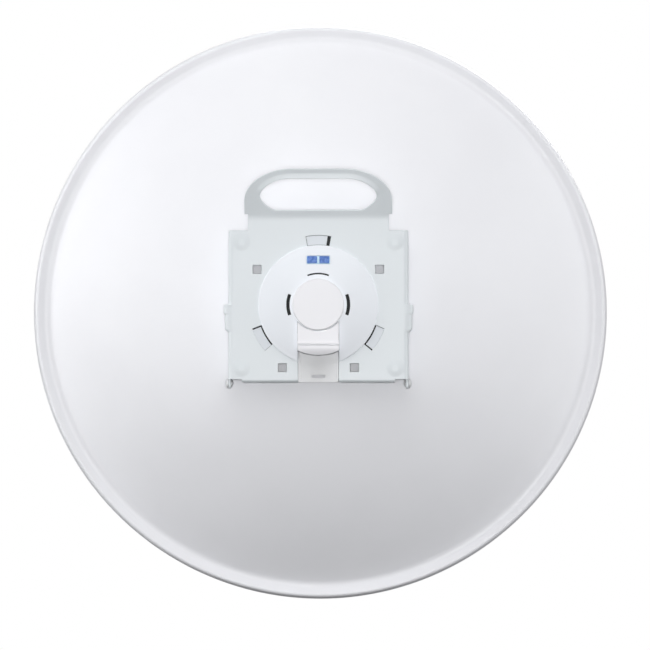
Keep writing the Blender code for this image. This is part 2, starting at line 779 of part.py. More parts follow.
def make_port_cover(finish):
    """A hood over the jack, open below, with a lip and a sloping chin under the lip."""
    outline = circle_foot(COVER_HALF_WIDTH, BODY_RADIUS)
    outline += circle_foot(COVER_HALF_WIDTH, DOME_TOP_RADIUS + 2 * SEAT)[::-1]
    front = CHANNEL_FLOOR_Y - SEAT
    hood = combined(
        prism("port_cover", outline, 2 * COVER_REAR_Y, front),
        slab("profile", cover_profile(0.0, 2 * front), 2 * COVER_HALF_WIDTH),
        "INTERSECT",
    )
    lip = block(COVER_HALF_WIDTH + COVER_LIP_PROUD, COVER_LIP_Z, COVER_LIP_Z + COVER_LIP_HEIGHT)
    lip_piece = prism("lip", lip, COVER_REAR_Y - COVER_LIP_PROUD, COVER_REAR_Y + COVER_WALL / 2)
    inside = channel_outline(
        COVER_HALF_WIDTH - COVER_WALL, DOME_TOP_RADIUS + COVER_WALL, 1.5 * CHIN_END_Z
    )
    hollow = combined(
        prism("hollow", inside, 2 * COVER_REAR_Y, 2 * front),
        slab("profile", cover_profile(COVER_WALL, 3 * front), 2 * COVER_HALF_WIDTH),
        "INTERSECT",
    )
    over_jack = block(COVER_HALF_WIDTH - COVER_WALL, JACK_MOUTH_Z, JACK_TOP_Z / 2)
    jack_room = prism("jack_room", over_jack, DOME_TOP_Y + DOME_WALL, 2 * front)
    add_piece("port_cover", cut(joined(hood, lip_piece), hollow, jack_room), finish)


def make_network_jack(finish):
    jack_front = CHANNEL_FLOOR_Y - SEAT
    jack = prism(
        "network_jack", block(JACK_HALF_WIDTH, JACK_MOUTH_Z, JACK_TOP_Z), JACK_REAR_Y, jack_front
    )
    socket = block(SOCKET_HALF_WIDTH, 2 * JACK_MOUTH_Z, JACK_MOUTH_Z + SOCKET_DEPTH)
    socket_piece = prism("socket", socket, SOCKET_Y, SOCKET_Y + SOCKET_HEIGHT)
    add_piece("network_jack", cut(jack, socket_piece), finish)


def make_cable_tray(finish):
    outline = channel_outline(TRAY_HALF_WIDTH, BODY_RADIUS + SEAT, TRAY_BOTTOM_Z)
    tray = prism("cable_tray", outline, SEAT, TRAY_FLOOR_Y + TRAY_SHEET)
    inside = block(TRAY_HALF_WIDTH - TRAY_WALL, 2 * TRAY_BOTTOM_Z, 0.0)
    trough = prism("trough", inside, -0.01, TRAY_FLOOR_Y)
    half = TIE_SLOT_HALF_LENGTH - TIE_SLOT_HALF_WIDTH
    radii = (TIE_SLOT_HALF_WIDTH, TIE_SLOT_HALF_WIDTH)
    slot = arc((half, TIE_SLOT_Z), radii, -90, 90, 5)
    slot += arc((-half, TIE_SLOT_Z), radii, 90, 270, 5)
    tie_slot = prism("tie_slot", slot, 0.0, 2 * TRAY_FLOOR_Y)
    add_piece("cable_tray", cut(tray, trough, tie_slot), finish)


def make_lock_ring(finish):
    """A ring round the drum, in front of the plate, with a tab up into each lock slot."""
    rear = PLATE_SHEET + SEAT
    inner = BODY_RADIUS + SEAT
    profile = [(inner, rear), (RING_OUTER, rear), (RING_OUTER, RING_FRONT_Y), (inner, RING_FRONT_Y)]
    ring = turned("lock_ring", profile, 48)
    tabs = []
    for middle in LOCK_SLOT_ANGLES:
        start = middle + TAB_START_ANGLE
        end = middle + TAB_END_ANGLE
        outline = arc((0.0, 0.0), (TAB_OUTER, TAB_OUTER), start, end, 4)
        outline += arc((0.0, 0.0), (TAB_INNER, TAB_INNER), end, start, 4)
        tabs.append(prism("tab", outline, TAB_REAR_Y, (rear + RING_FRONT_Y) / 2))
    beyond = 1.2 * RING_OUTER
    channel = prism("channel", block(CHANNEL_HALF_WIDTH, -beyond, 0.0), -0.01, 0.02)
    add_piece("lock_ring", joined(cut(ring, channel), *tabs), finish)


def make_status_window(panel_finish, lens_finish):
    """A pale panel let into the dome, with two coloured lenses on it."""
    angle, centre = window_frame()
    panel_rear = WINDOW_SUNK - SEAT
    panel = prism(
        "status_window",
        block(WINDOW_HALF_WIDTH, -WINDOW_HALF_HEIGHT, WINDOW_HALF_HEIGHT),
        panel_rear,
        panel_rear + WINDOW_THICKNESS,
    )
    add_piece("status_window", tilted(panel, angle, centre), panel_finish)
    for name, side in (("status_lens_left", -1), ("status_lens_right", 1)):
        lens = prism(
            name,
            block(LENS_HALF_WIDTH, -LENS_HALF_HEIGHT, LENS_HALF_HEIGHT),
            panel_rear - SEAT - LENS_THICKNESS,
            panel_rear - SEAT,
        )
        piece = add_piece(name, tilted(lens, angle, centre), lens_finish)
        piece.location = (side * LENS_X, 0.0, 0.0)


# Feed on the boresight

def make_hub_gasket(finish):
    rear = BODY_FRONT_Y + SEAT
    front = bowl_y(0.0) - SEAT
    inner = HUB_HOLE_RADIUS
    outer = BODY_RADIUS - 0.002
    profile = [(inner, rear), (outer, rear), (outer, front), (inner, front)]
    add_piece("hub_gasket", turned("hub_gasket", profile, 40), finish)


def make_feed(finish, band_finish):
    bowl_front = bowl_y(0.0) + BOWL_SHEET
    inner = NECK_RADIUS + SEAT
    chamfer = 0.0015
    collar = [
        (inner, bowl_front + SEAT),
        (COLLAR_RADIUS, bowl_front + SEAT),
        (COLLAR_RADIUS, COLLAR_FRONT_Y - chamfer),
        (COLLAR_RADIUS - chamfer, COLLAR_FRONT_Y),
        (inner, COLLAR_FRONT_Y),
    ]
    add_piece("feed_collar", turned("feed_collar", collar), finish)
    tube_rear = NECK_FRONT_Y + SEAT
    tube = [
        (0.0, tube_rear),
        (TUBE_BASE_RADIUS, tube_rear),
        (TUBE_BASE_RADIUS, tube_rear + 0.004),
        (TUBE_RADIUS + 0.001, tube_rear + 0.009),
        (TUBE_RADIUS, tube_rear + 0.014),
        (TUBE_TIP_RADIUS, TUBE_FRONT_Y),
        (0.0, TUBE_FRONT_Y),
    ]
    add_piece("feed_tube", turned("feed_tube", tube), finish)
    band_rear = TUBE_FRONT_Y + SEAT
    band = [
        (0.0, band_rear),
        (BAND_RADIUS, band_rear),
        (BAND_RADIUS, BAND_FRONT_Y),
        (0.0, BAND_FRONT_Y),
    ]
    add_piece("feed_band", turned("feed_band", band), band_finish)
    base = [
        (0.0, BAND_FRONT_Y + SEAT),
        (CAP_BASE_RADIUS, BAND_FRONT_Y + SEAT),
        (CAP_RADIUS - 0.0015, CAP_SHOULDER_Y - 0.003),
        (CAP_RADIUS, CAP_SHOULDER_Y),
        (0.0, CAP_SHOULDER_Y),
    ]
    add_piece("feed_horn", turned("feed_horn", base), finish)
    cap_rear = CAP_SHOULDER_Y + SEAT
    edge = 0.007
    cap = [(0.0, cap_rear), (CAP_RADIUS, cap_rear)]
    cap += arc((CAP_RADIUS - edge, CAP_FRONT_Y - 0.004 - edge), (edge, edge), 0, 75, 5)
    cap += [(CAP_RADIUS * 0.45, CAP_FRONT_Y - 0.0008), (0.0, CAP_FRONT_Y)]
    add_piece("feed_radome_cap", turned("feed_radome_cap", cap), finish)


clear_scene()
AXIS = hub_axis()
WHITE_COAT = material("white_powder_coat", (0.86, 0.86, 0.87), 0.42)
PLATE_COAT = material("plate_powder_coat", (0.80, 0.83, 0.84), 0.45)
WHITE_PLASTIC = material("white_plastic", (0.84, 0.84, 0.86), 0.35)
GREY_PLASTIC = material("grey_plastic", (0.62, 0.63, 0.64), 0.5)
DARK_PLASTIC = material("dark_plastic", (0.06, 0.06, 0.07), 0.5)
ZINC = material("zinc_plate", (0.55, 0.56, 0.57), 0.38, 0.9)
RUBBER = material("black_rubber", (0.03, 0.03, 0.03), 0.8)
PALE_LENS = material("pale_lens", (0.72, 0.88, 0.98), 0.2)
BLUE_LENS = material("blue_lens", (0.10, 0.24, 0.62), 0.2)

make_reflector(WHITE_COAT)
make_back_plate(PLATE_COAT)
make_rivets(ZINC)
make_standoffs(ZINC)
make_housing_body(WHITE_PLASTIC)
make_housing_dome(WHITE_PLASTIC)
make_end_disc(WHITE_PLASTIC)
make_port_cover(WHITE_PLASTIC)
make_network_jack(DARK_PLASTIC)
make_cable_tray(GREY_PLASTIC)
make_lock_ring(WHITE_PLASTIC)
make_status_window(PALE_LENS, BLUE_LENS)
make_hub_gasket(RUBBER)
make_feed(WHITE_PLASTIC, GREY_PLASTIC)
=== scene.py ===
"""Looks of the wireless bridge dish antenna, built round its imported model.

Shapes are written about the hub's axis, with y = 0 on the back plate's rear face, and each
piece is then carried to the hub's height. Metres, +Z up, +Y along the boresight.
"""

from math import asin, atan, cos, degrees, hypot, pi, radians, sin, sqrt, tan

import bmesh
import bpy
from mathutils import Matrix, Vector
from mathutils.geometry import delaunay_2d_cdt


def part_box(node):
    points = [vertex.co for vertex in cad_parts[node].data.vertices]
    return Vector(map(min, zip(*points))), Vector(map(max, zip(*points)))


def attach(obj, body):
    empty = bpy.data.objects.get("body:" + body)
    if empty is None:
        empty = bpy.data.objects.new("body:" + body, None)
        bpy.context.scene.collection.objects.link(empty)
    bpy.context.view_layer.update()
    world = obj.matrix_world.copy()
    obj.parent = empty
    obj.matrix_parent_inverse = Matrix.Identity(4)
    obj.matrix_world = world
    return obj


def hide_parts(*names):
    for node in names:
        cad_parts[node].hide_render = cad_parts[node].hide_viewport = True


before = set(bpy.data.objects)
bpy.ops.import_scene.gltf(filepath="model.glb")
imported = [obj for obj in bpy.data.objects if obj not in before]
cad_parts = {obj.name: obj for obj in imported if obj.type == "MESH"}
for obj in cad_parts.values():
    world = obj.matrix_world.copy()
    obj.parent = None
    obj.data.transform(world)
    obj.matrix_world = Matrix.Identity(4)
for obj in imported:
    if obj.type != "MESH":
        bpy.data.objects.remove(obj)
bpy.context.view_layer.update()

# The frame gives the hub's height and the sizes that other pieces follow.
DISC_LOW, DISC_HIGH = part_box("end_disc")
_, DISH_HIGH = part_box("reflector")
HUB_Z = (DISC_LOW.z + DISC_HIGH.z) / 2
RIM_MARGIN = 0.00002
DISH_RADIUS = DISH_HIGH.x - RIM_MARGIN
RIM_FRONT_Y = DISH_HIGH.y
DISC_RADIUS = DISC_HIGH.x
DISC_REAR_Y = DISC_LOW.y

# Shared values: the gap between pieces that touch, the hub's axis in (x, z), the ends of a
# cutter that goes right through, and the angle in degrees from which an edge is sharp.
# Below, a flat shape's _X is half its width, because its sides are at that x and its negative.
SEAT = 0.0003
HUB = (0.0, 0.0)
BEHIND = -0.02
AHEAD = 0.02
SHARP_ANGLE = 40
SIDES = (("left", -1), ("right", 1))
CORNERS = (("upper_left", -1, 1), ("upper_right", 1, 1), ("lower_left", -1, -1), ("lower_right", 1, -1))

# Reflector
FOCAL_LENGTH = 0.172
VERTEX_Y = 0.018
BOWL_SHEET = 0.0015
HUB_FLAT_RADIUS = 0.046
HUB_FLAT_CREASE = 0.003
HUB_HOLE_RADIUS = 0.0275
BOWL_EDGE_RADIUS = 0.2468
RIM_FILLET = 0.0044
# The flange leans back a little, ends in a short curl and then flares out to the skirt.
RIM_LEAN = radians(22)
RIM_CURL = 0.0024
RIM_CURL_START = 0.2550
RIM_FLARE = radians(64)
BOWL_STEPS = 40
BOWL_SEGMENTS = 240

# Back plate
PLATE_SHEET = 0.002
FACE_X = 0.0737
FACE_TOP = 0.065
FACE_BOTTOM = -0.0642
FOLD_RADIUS = 0.0043
FOLD_LENGTH = FOLD_RADIUS * pi / 2
BOTTOM_FOLD_RADIUS = 0.0026
BOTTOM_FOLD_LENGTH = BOTTOM_FOLD_RADIUS * pi / 2
FOLD_STEPS = 8
FLANGE_X = FACE_X + FOLD_RADIUS
FLANGE_Z = FACE_BOTTOM - BOTTOM_FOLD_RADIUS
FLANGE_EDGE_GAP = 0.0005
CHANNEL_X = 0.0176
BOTTOM_FLANGE_X = 0.0662
PLATE_BORE = 0.0495
BORE_STEP = 3.0
LOCK_SLOT_RADIUS = 0.0607
LOCK_SLOT_HALF_ANGLE = 10.5
# The lock slots' middles, clockwise from the channel's left side.
LOCK_SLOT_ANGLES = (210.0, 90.0, -30.0)
BOLT_HOLE_HALF = 0.00375
BOLT_HOLE_CORNER = 0.0005
BOLT_HOLES = ((0.0531, 0.031), (0.0312, -0.0542))
BLISTER_X = 0.0665
BLISTER_Z = 0.0546
BLISTER_RADIUS = 0.0085
BLISTER_TOP_RADIUS = 0.0020
BLISTER_HEIGHT = 0.0009
# The side flanges' pressed ears: (height, how far the flange stands out there), from the top.
EAR_PROFILE = (
    (0.0012, 0.0),
    (0.0, 0.0042),
    (-0.0066, 0.0042),
    (-0.0084, 0.0030),
    (-0.0205, 0.0030),
    (-0.0240, 0.0),
)
TONGUE_REAR = 0.0054
TONGUE_FRONT = 0.0169
TONGUE_BOTTOM = -0.072
TONGUE_CORNER = 0.002
RIVET_Y = 0.0111
RIVET_Z = -0.0675
RIVET_HOLE_RADIUS = 0.0026
RIVET_HEAD_RADIUS = 0.0044
RIVET_HEAD = 0.0025
RIVET_TAIL = 0.7
# The powder coat rounds the sheet's cut edges.
EDGE_ROUND = 0.00045
CREASE_OVERLAP = 0.001

# Carry handle
HANDLE_LEAN = radians(25)
HANDLE_FOLD_Z = 0.0725
HANDLE_FOLD_RADIUS = 0.015
HANDLE_FOLD_LENGTH = HANDLE_FOLD_RADIUS * HANDLE_LEAN
HANDLE_FOOT = HANDLE_FOLD_Z + HANDLE_FOLD_LENGTH
HANDLE_NECK_X = 0.061
HANDLE_X = 0.064
HANDLE_SIDE = 0.0118
HANDLE_LENGTH = 0.0414
HANDLE_TOP_FLAT = 0.0217
GRIP_BOTTOM = 0.0036
GRIP_WIDEST = 0.0156
GRIP_TOP = 0.0331
GRIP_X = 0.0505
GRIP_BOTTOM_FLAT = 0.0365
GRIP_TOP_FLAT = 0.023
# The opening's lower corners are cut more squarely across than an ellipse would be.
GRIP_CORNER_POWER = 1.38
LIP_WIDTH = 0.0048
LIP_TURN = 0.32
LIP_CURVE = 1.3
LIP_RINGS = (0.0003, 0.0008, 0.0014, 0.0021, 0.0030, 0.0039, 0.0048)

# Posts between the plate and the bowl, and the screws
POST_SIDES = 48
POST_RADIUS = 0.0046
POST_FLAT_RADIUS = 0.0051
POST_CORNER = 1.12
# A post's rings: (share of its length, radius, whether it is six-sided there).
POST_RINGS = (
    (0.0, POST_RADIUS, False),
    (0.06, POST_RADIUS, False),
    (0.07, POST_FLAT_RADIUS, True),
    (0.88, POST_FLAT_RADIUS, True),
    (0.89, POST_RADIUS, False),
    (1.0, POST_RADIUS, False),
)
BOWL_SCREW = (0.0042, 0.0026)
COLLAR_SCREW = (0.0018, 0.0012)
WASHER = 0.0008

# Feed housing
BODY_RADIUS = 0.0433
BODY_REAR_Y = 0.001
BODY_FRONT_Y = 0.0188
NECK_RADIUS = 0.0268
NECK_FRONT_Y = 0.0290
# The ribs stand in the drum's waist, between a land at each end, and clear of the tray.
DRUM_LAND = 0.0015
RIB_COUNT = 48
RIB_DEPTH = 0.0006
RIB_HALF_WIDTH = 0.0005
RIB_CREST = 0.0002
RIB_END_GAP = 0.0001
RIB_FREE_SHARE = 0.45
GASKET_INSET = 0.002
CHANNEL_FLOOR_Y = 0.004
CHANNEL_TOP_Z = -0.0125
DOME_RADIUS = 0.052
DOME_EDGE_Y = -0.0016
DOME_CURVE_RADIUS = 0.050
DOME_CURVE_Y = -0.0025
DOME_CURVE_STEPS = 20
DOME_TOP_RADIUS = 0.0226
DOME_TOP_Y = -0.0093
DOME_WALL = 0.0024
DOME_CUT_X = 0.0181
# The dome's shoulder: (share of its width, how far it lies in front of the curve's end).
DOME_SHOULDER = ((0.45, 0.00015), (0.8, 0.0005))
# A black ring behind the arc slots, painted shade for their deep inside: its thickness, and how far it
# reaches inside and outside them.
DOME_SHADE_SHEET = 0.0006
DOME_SHADE_INSIDE = 0.002
DOME_SHADE_OUTSIDE = 0.003
ARC_SLOT_INNER = 0.0247
TOP_SLOT_INNER = 0.0262
ARC_SLOT_OUTER = 0.0276
ARC_SLOT_HALF_ANGLE = 20.0

# Port cover, network jack and cable tray
COVER_X = 0.0178
COVER_WALL = 0.002
COVER_REAR_Y = -0.012
COVER_LIP_Z = -0.0338
COVER_LIP_HEIGHT = 0.0016
COVER_LIP_PROUD = 0.0006
GROOVE_Y = -0.0105
CHIN_TOP_Y = -0.0113
CHIN_TOP_Z = -0.0353
CHIN_STRIP = 0.0020
CHIN_START_TURN = radians(6)
CHIN_END_TURN = radians(34)
CHIN_STEPS = 10
CHIN_END_Z = -0.0446
JACK_X = 0.008
JACK_TOP_Z = -0.0140
JACK_MOUTH_Z = -0.0318
JACK_REAR_Y = -0.0064
SHIELD = 0.00022
SHIELD_MOUTH_GAP = 0.0004
SHIELD_TOP_GAP = 0.002
SOCKET_X = 0.0059
SOCKET_HEIGHT = 0.0081
SOCKET_DEPTH = 0.0125
SOCKET_Y = -0.0053
LATCH_STEP = 0.0008
LATCH_DEPTH = 0.7 * SOCKET_DEPTH
CONTACT_COUNT = 8
CONTACT_PITCH = 0.00102
CONTACT_HALF_WIDTH = 0.00022
CONTACT_SHEET = 0.0003
# The contacts' ends, as (y, z) from the socket's rear and its mouth.
CONTACT_FOOT = (0.00012, 0.0018)
CONTACT_TIP = (0.0024, 0.8 * SOCKET_DEPTH)
TRAY_X = 0.0173
TRAY_WALL = 0.0013
TRAY_FLOOR_Y = 0.008
TRAY_SHEET = 0.0015
TRAY_BOTTOM_Z = -0.0665
TIE_SLOT_Z = -0.0615
TIE_SLOT_HALF_LENGTH = 0.006
TIE_SLOT_HALF_WIDTH = 0.0013

# Lock ring
RING_OUTER = 0.0515
RING_FRONT_Y = 0.0048
TAB_REAR_Y = 0.0006
ROOT_REAR_Y = 0.0040
ROOT_OVERLAP = 0.001
TAB_END_ANGLE = 10.2
# Each tab's middle, the angle from there to its start, and its inner and outer radius.
LOCK_TABS = (
    (90.0, -7.6, 0.0525, 0.0604),
    (210.0, -9.3, 0.0533, 0.06065),
    (330.0, -9.3, 0.0533, 0.06065),
)
# The black ring behind the lock slots, which paints the shade in their gaps.
LOCK_SHADE_REAR_Y = 0.0026
LOCK_SHADE_FRONT_Y = 0.0038
LOCK_SHADE_OUTER = 0.0625
# The black ring that paints shade in the lock slots' gaps is notched where the bracket bolts pass it.
LOCK_SHADE_NOTCH = 0.0055

# Status window
WINDOW_Z = 0.039
WINDOW_X = 0.0100
WINDOW_HALF_HEIGHT = 0.0036
WINDOW_THICKNESS = 0.0008
WINDOW_SUNK = 0.0008
WINDOW_CORNER = 0.0008
POCKET_CORNER = 0.0009
LENS_HALF_WIDTH = 0.0043
LENS_HALF_HEIGHT = 0.0032
LENS_CORNER = 0.0007
LENS_X = 0.0053
LENS_THICKNESS = 0.0007

# Feed
COLLAR_RADIUS = 0.038
COLLAR_FRONT_Y = 0.0288
COLLAR_ROUND = 0.0018
TUBE_BASE_RADIUS = 0.0285
TUBE_RADIUS = 0.0245
TUBE_TIP_RADIUS = 0.0230
TUBE_FRONT_Y = 0.150
# The tube's flared foot, an arc whose centre is given from the tube's side and its rear.
FLARE_REAR = 0.004
FLARE_CENTRE = (0.0044, 0.014)
FLARE_RADII = (0.0040, 0.0092)
TIP_BEAD = 0.0004
TIP_RELIEF = 0.0002
SEAM_HALF_WIDTH = 0.00022
BAND_RADIUS = 0.0255
BAND_FRONT_Y = 0.1560
BAND_CHAMFER = 0.0007
BAND_TOOTH = 0.0007
TOOTH_COUNT = 60
TOOTH_HALF_WIDTH = 0.00055
CAP_BASE_RADIUS = 0.0265
CAP_RADIUS = 0.0360
CAP_SHOULDER_Y = 0.1760
CAP_FRONT_Y = 0.2000
CAP_ROUND = 0.007
CAP_CROWN = 0.004
HORN_SWELL = 0.06
# The horn's side ends this far inside and behind its shoulder.
HORN_RIM = (0.0015, 0.003)

# Surroundings: the camera's place and aim, and each light as its name, azimuth to the right and
# elevation in degrees as seen from the dish, distance, size and power.
FLOOR_Z = -0.75
FLOOR_RADIUS = 3.0
CAMERA_PLACE = Vector((0.0315, -2.237, -0.1791))
CAMERA_AIM = Vector((0.0045, 0.110, -0.0785))
CAMERA_LENS = 143.3
LIGHTS_AIM = Vector((0.0, 0.05, HUB_Z))
SOFTBOXES = (
    ("rear_light", 0.8, -2.8, 2.35, 0.26, 23.4),
    ("near_softbox", 0.0, 35.0, 1.4, 0.8, 2.3),
    ("high_left_softbox", -30.0, 45.0, 5.0, 3.0, 7.5),
    ("top_softbox", 0.0, 70.0, 4.0, 2.4, 33.5),
    ("left_softbox", -80.0, 15.0, 2.6, 1.5, 23.0),
    ("right_softbox", 80.0, 15.0, 5.0, 3.0, 44.0),
    ("low_left_softbox", -80.0, -15.0, 2.6, 1.5, 14.4),
    ("low_right_softbox", 80.0, -15.0, 2.6, 1.5, 14.0),
    ("front_softbox", 165.0, 35.0, 2.9, 1.8, 60.0),
)


# Objects

def new_object(name, data):
    thing = bpy.data.objects.new(name, data)
    bpy.context.scene.collection.objects.link(thing)
    return thing


def add_piece(name, mesh, finish, node=None, smooth_angle=SHARP_ANGLE):
    """A piece of the antenna on the hub's axis, standing for the CAD node if one is named."""
    material, slot = finish
    mesh.name = name
    mesh.materials.clear()
    mesh.materials.append(material)
    mesh.shade_smooth()
    mesh.set_sharp_from_angle(angle=radians(smooth_angle))
    piece = new_object(name, mesh)
    piece.location = (0.0, 0.0, HUB_Z)
    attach(piece, "root")
    if node:
        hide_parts(node)
    return piece


def keep_flat(piece, keep_sharp=True):
    """Keeps flat faces flat in the shading."""
    shading = piece.modifiers.new("flat_faces", "WEIGHTED_NORMAL")
    shading.keep_sharp = keep_sharp


def soften(piece, width, segments=2):
    """Rounds the sharp edges."""
    edge = piece.modifiers.new("soft_edges", "BEVEL")
    edge.width = width
    edge.segments = segments
    edge.limit_method = "ANGLE"
    edge.angle_limit = radians(SHARP_ANGLE)
    edge.use_clamp_overlap = True
    keep_flat(piece)


def mesh_of(shape):
    shape.normal_update()
    bmesh.ops.recalc_face_normals(shape, faces=shape.faces)
    mesh = bpy.data.meshes.new("shape")
    shape.to_mesh(mesh)
    shape.free()
    return mesh


# Shape helpers

def spread(low, high, steps):
    """Evenly spaced values from one to another, both among them."""
    return [low + (high - low) * step / steps for step in range(steps + 1)]


def full_turn(count):
    """The angles of this many evenly spaced places round a circle."""
    return spread(0.0, 2 * pi, count)[:-1]


def pairs(loop):
    """Each point of a closed loop with the next."""
    return zip(loop, loop[1:] + loop[:1])


def oval(centre, radii, start, end, steps=8):
    """Points of an ellipse's arc, from one angle in degrees to another."""
    points = []
    for angle in spread(start, end, steps):
        turn = radians(angle)
        points.append((centre[0] + radii[0] * cos(turn), centre[1] + radii[1] * sin(turn)))
    return points


def arc(centre, radius, start, end, steps=8):
    """Points of a circle's arc, from one angle in degrees to another."""
    return oval(centre, (radius, radius), start, end, steps)


def bend(start, corner, end, steps=8):
    """Points of a smooth bend, pulled towards a corner, without its start."""
    points = []
    for share in spread(0.0, 1.0, steps)[1:]:
        near = 1.0 - share
        pulls = zip(start, corner, end)
        points.append(tuple(near * near * a + 2 * near * share * b + share * share * c for a, b, c in pulls))
    return points


def mirrored(points):
    return [(-x, z) for x, z in reversed(points)]


def turned(profile, segments=128):
    """A closed profile of (radius, y) points, turned about the hub's axis."""
    shape = bmesh.new()
    corners = [shape.verts.new((radius, y, 0.0)) for radius, y in profile]
    for here, after in pairs(corners):
        if here.co.x > 0.0 or after.co.x > 0.0:
            shape.edges.new((here, after))
    bmesh.ops.spin(
        shape,
        geom=shape.verts[:] + shape.edges[:],
        cent=(0.0, 0.0, 0.0),
        axis=(0.0, 1.0, 0.0),
        angle=2 * pi,
        steps=segments,
        use_merge=True,
    )
    bmesh.ops.remove_doubles(shape, verts=shape.verts, dist=1e-6)
    return mesh_of(shape)


def hoop(inner, outer, rear, front, segments=96):
    """A plain ring about the hub's axis."""
    return turned([(inner, rear), (outer, rear), (outer, front), (inner, front)], segments)


def drawn_out(corners, way):
    """A flat outline of corners, drawn out along a vector."""
    shape = bmesh.new()
    face = shape.faces.new([shape.verts.new(corner) for corner in corners])
    far_end = bmesh.ops.extrude_face_region(shape, geom=[face])
    moved = [item for item in far_end["geom"] if isinstance(item, bmesh.types.BMVert)]
    bmesh.ops.translate(shape, verts=moved, vec=way)
    return mesh_of(shape)


def prism(outline, rear, front):
    """An outline of (x, z) points, drawn out along y."""
    return drawn_out([(x, rear, z) for x, z in outline], (0.0, front - rear, 0.0))


def through(outline):
    """A cutter that goes right through the housing's pieces along y."""
    return prism(outline, BEHIND, AHEAD)


def slab(profile, half_width):
    """A profile of (y, z) points, drawn out across x."""
    return drawn_out([(-half_width, y, z) for y, z in profile], (2 * half_width, 0.0, 0.0))


def block(half_width, low, high):
    """The outline of a rectangle centred on x = 0."""
    return [(-half_width, low), (half_width, low), (half_width, high), (-half_width, high)]


def rounded_block(half_width, low, high, corner, steps=4):
    """The outline of a rectangle with round corners, centred on x = 0."""
    right = arc((half_width - corner, low + corner), corner, -90, 0, steps)
    right += arc((half_width - corner, high - corner), corner, 0, 90, steps)
    return right + mirrored(right)


def combined(mesh, other, operation):
    """One Boolean, worked out at once, of a mesh with another."""
    piece = new_object("base", mesh)
    tool = new_object("tool", other)
    step = piece.modifiers.new("step", "BOOLEAN")
    step.operation = operation
    step.object = tool
    bpy.context.view_layer.update()
    worked_out = piece.evaluated_get(bpy.context.evaluated_depsgraph_get())
    result = bpy.data.meshes.new_from_object(worked_out)
    bpy.data.objects.remove(piece)
    bpy.data.objects.remove(tool)
    return result


def cut(mesh, *cutters):
    for cutter in cutters:
        mesh = combined(mesh, cutter, "DIFFERENCE")
    return mesh


def joined(mesh, *others):
    for other in others:
        mesh = combined(mesh, other, "UNION")
    return mesh


def placed(mesh, matrix):
    mesh.transform(matrix)
    return mesh


def shift(x, y, z):
    return Matrix.Translation((x, y, z))


def spin(angle):
    """A turn about the hub's axis."""
    return Matrix.Rotation(angle, 4, "Y")


def copies(mesh, places):
    """Copies of a mesh in one mesh, each still its own closed shape."""
    shape = bmesh.new()
    for place in places:
        shape.from_mesh(placed(mesh.copy(), place))
    return mesh_of(shape)


# Materials

def wire(tree, node, **inputs):
    """Sets a node's inputs, _ for a space, to values or to the outputs of other nodes."""
    for name, value in inputs.items():
        socket = node.inputs[name.replace("_", " ")]
        if isinstance(value, bpy.types.NodeSocket):
            tree.links.new(value, socket)
        else:
            socket.default_value = value
    return node


def add_node(tree, kind, **inputs):
    return wire(tree, tree.nodes.new(f"ShaderNode{kind}"), **inputs)


def ranged(tree, value, seen, wanted, interpolation="LINEAR"):
    """A value carried over from the range that it is seen in to the range wanted."""
    node = add_node(tree, "MapRange", Value=value, From_Min=seen[0], From_Max=seen[1])
    wire(tree, node, To_Min=wanted[0], To_Max=wanted[1])
    node.interpolation_type = interpolation
    return node.outputs["Result"]


def surface(name, slot, dark, light, rough, relief, metallic=0.0, tone_scale=9.0, coat=0.0, stretch=1.0):
    """A material and its slot. Its tone and its gloss drift between two close values.

    The relief is its grains a metre, its depth, its strength and its detail, and stretch
    is below 1 where the grains are drawn out along y.
    """
    made = bpy.data.materials.new(name)
    made.use_nodes = True
    tree = made.node_tree
    place = add_node(tree, "TexCoord").outputs["Object"]
    tone = add_node(tree, "TexNoise", Vector=place, Scale=tone_scale, Detail=4.0).outputs["Fac"]
    ramp = add_node(tree, "ValToRGB", Fac=tone)
    for end, position, colour in zip(ramp.color_ramp.elements, (0.35, 0.65), (dark, light)):
        end.position = position
        end.color = (*colour, 1.0)
    sheen = ranged(tree, tone, (0.3, 0.7), rough)
    scale, depth, strength, detail = relief
    spot = add_node(tree, "Mapping", Vector=place, Scale=(1.0, stretch, 1.0)).outputs["Vector"]
    grain = add_node(tree, "TexNoise", Vector=spot, Scale=scale, Detail=detail).outputs["Fac"]
    bump = add_node(tree, "Bump", Height=grain, Strength=strength, Distance=depth)
    wire(
        tree,
        tree.nodes["Principled BSDF"],
        Base_Color=ramp.outputs["Color"],
        Roughness=sheen,
        Normal=bump.outputs["Normal"],
        Metallic=metallic,
        Coat_Weight=coat,
        Coat_Roughness=0.12,
    )
    return made, slot


def powder_coat(name, dark, light):
    """Satin powder coat, with the orange peel that such paint dries with."""
    relief = (420.0, 0.00012, 0.22, 3.0)
    return surface(f"{name}_powder_coat", f"{name}_coat", dark, light, (0.40, 0.50), relief)


def moulded_plastic(name, dark, light, rough=(0.44, 0.56), slot="housing_plastic"):
    """Plastic from a finely blasted mould."""
    relief = (2600.0, 0.00005, 0.18, 2.0)
    return surface(f"{name}_plastic", slot, dark, light, rough, relief, tone_scale=14.0)


def window_plastic(name, slot, dark, light, tone_scale):
    """Glossy tinted plastic with a faint swirl."""
    relief = (500.0, 0.00004, 0.15, 2.0)
    return surface(name, slot, dark, light, (0.22, 0.32), relief, tone_scale=tone_scale, coat=0.2)


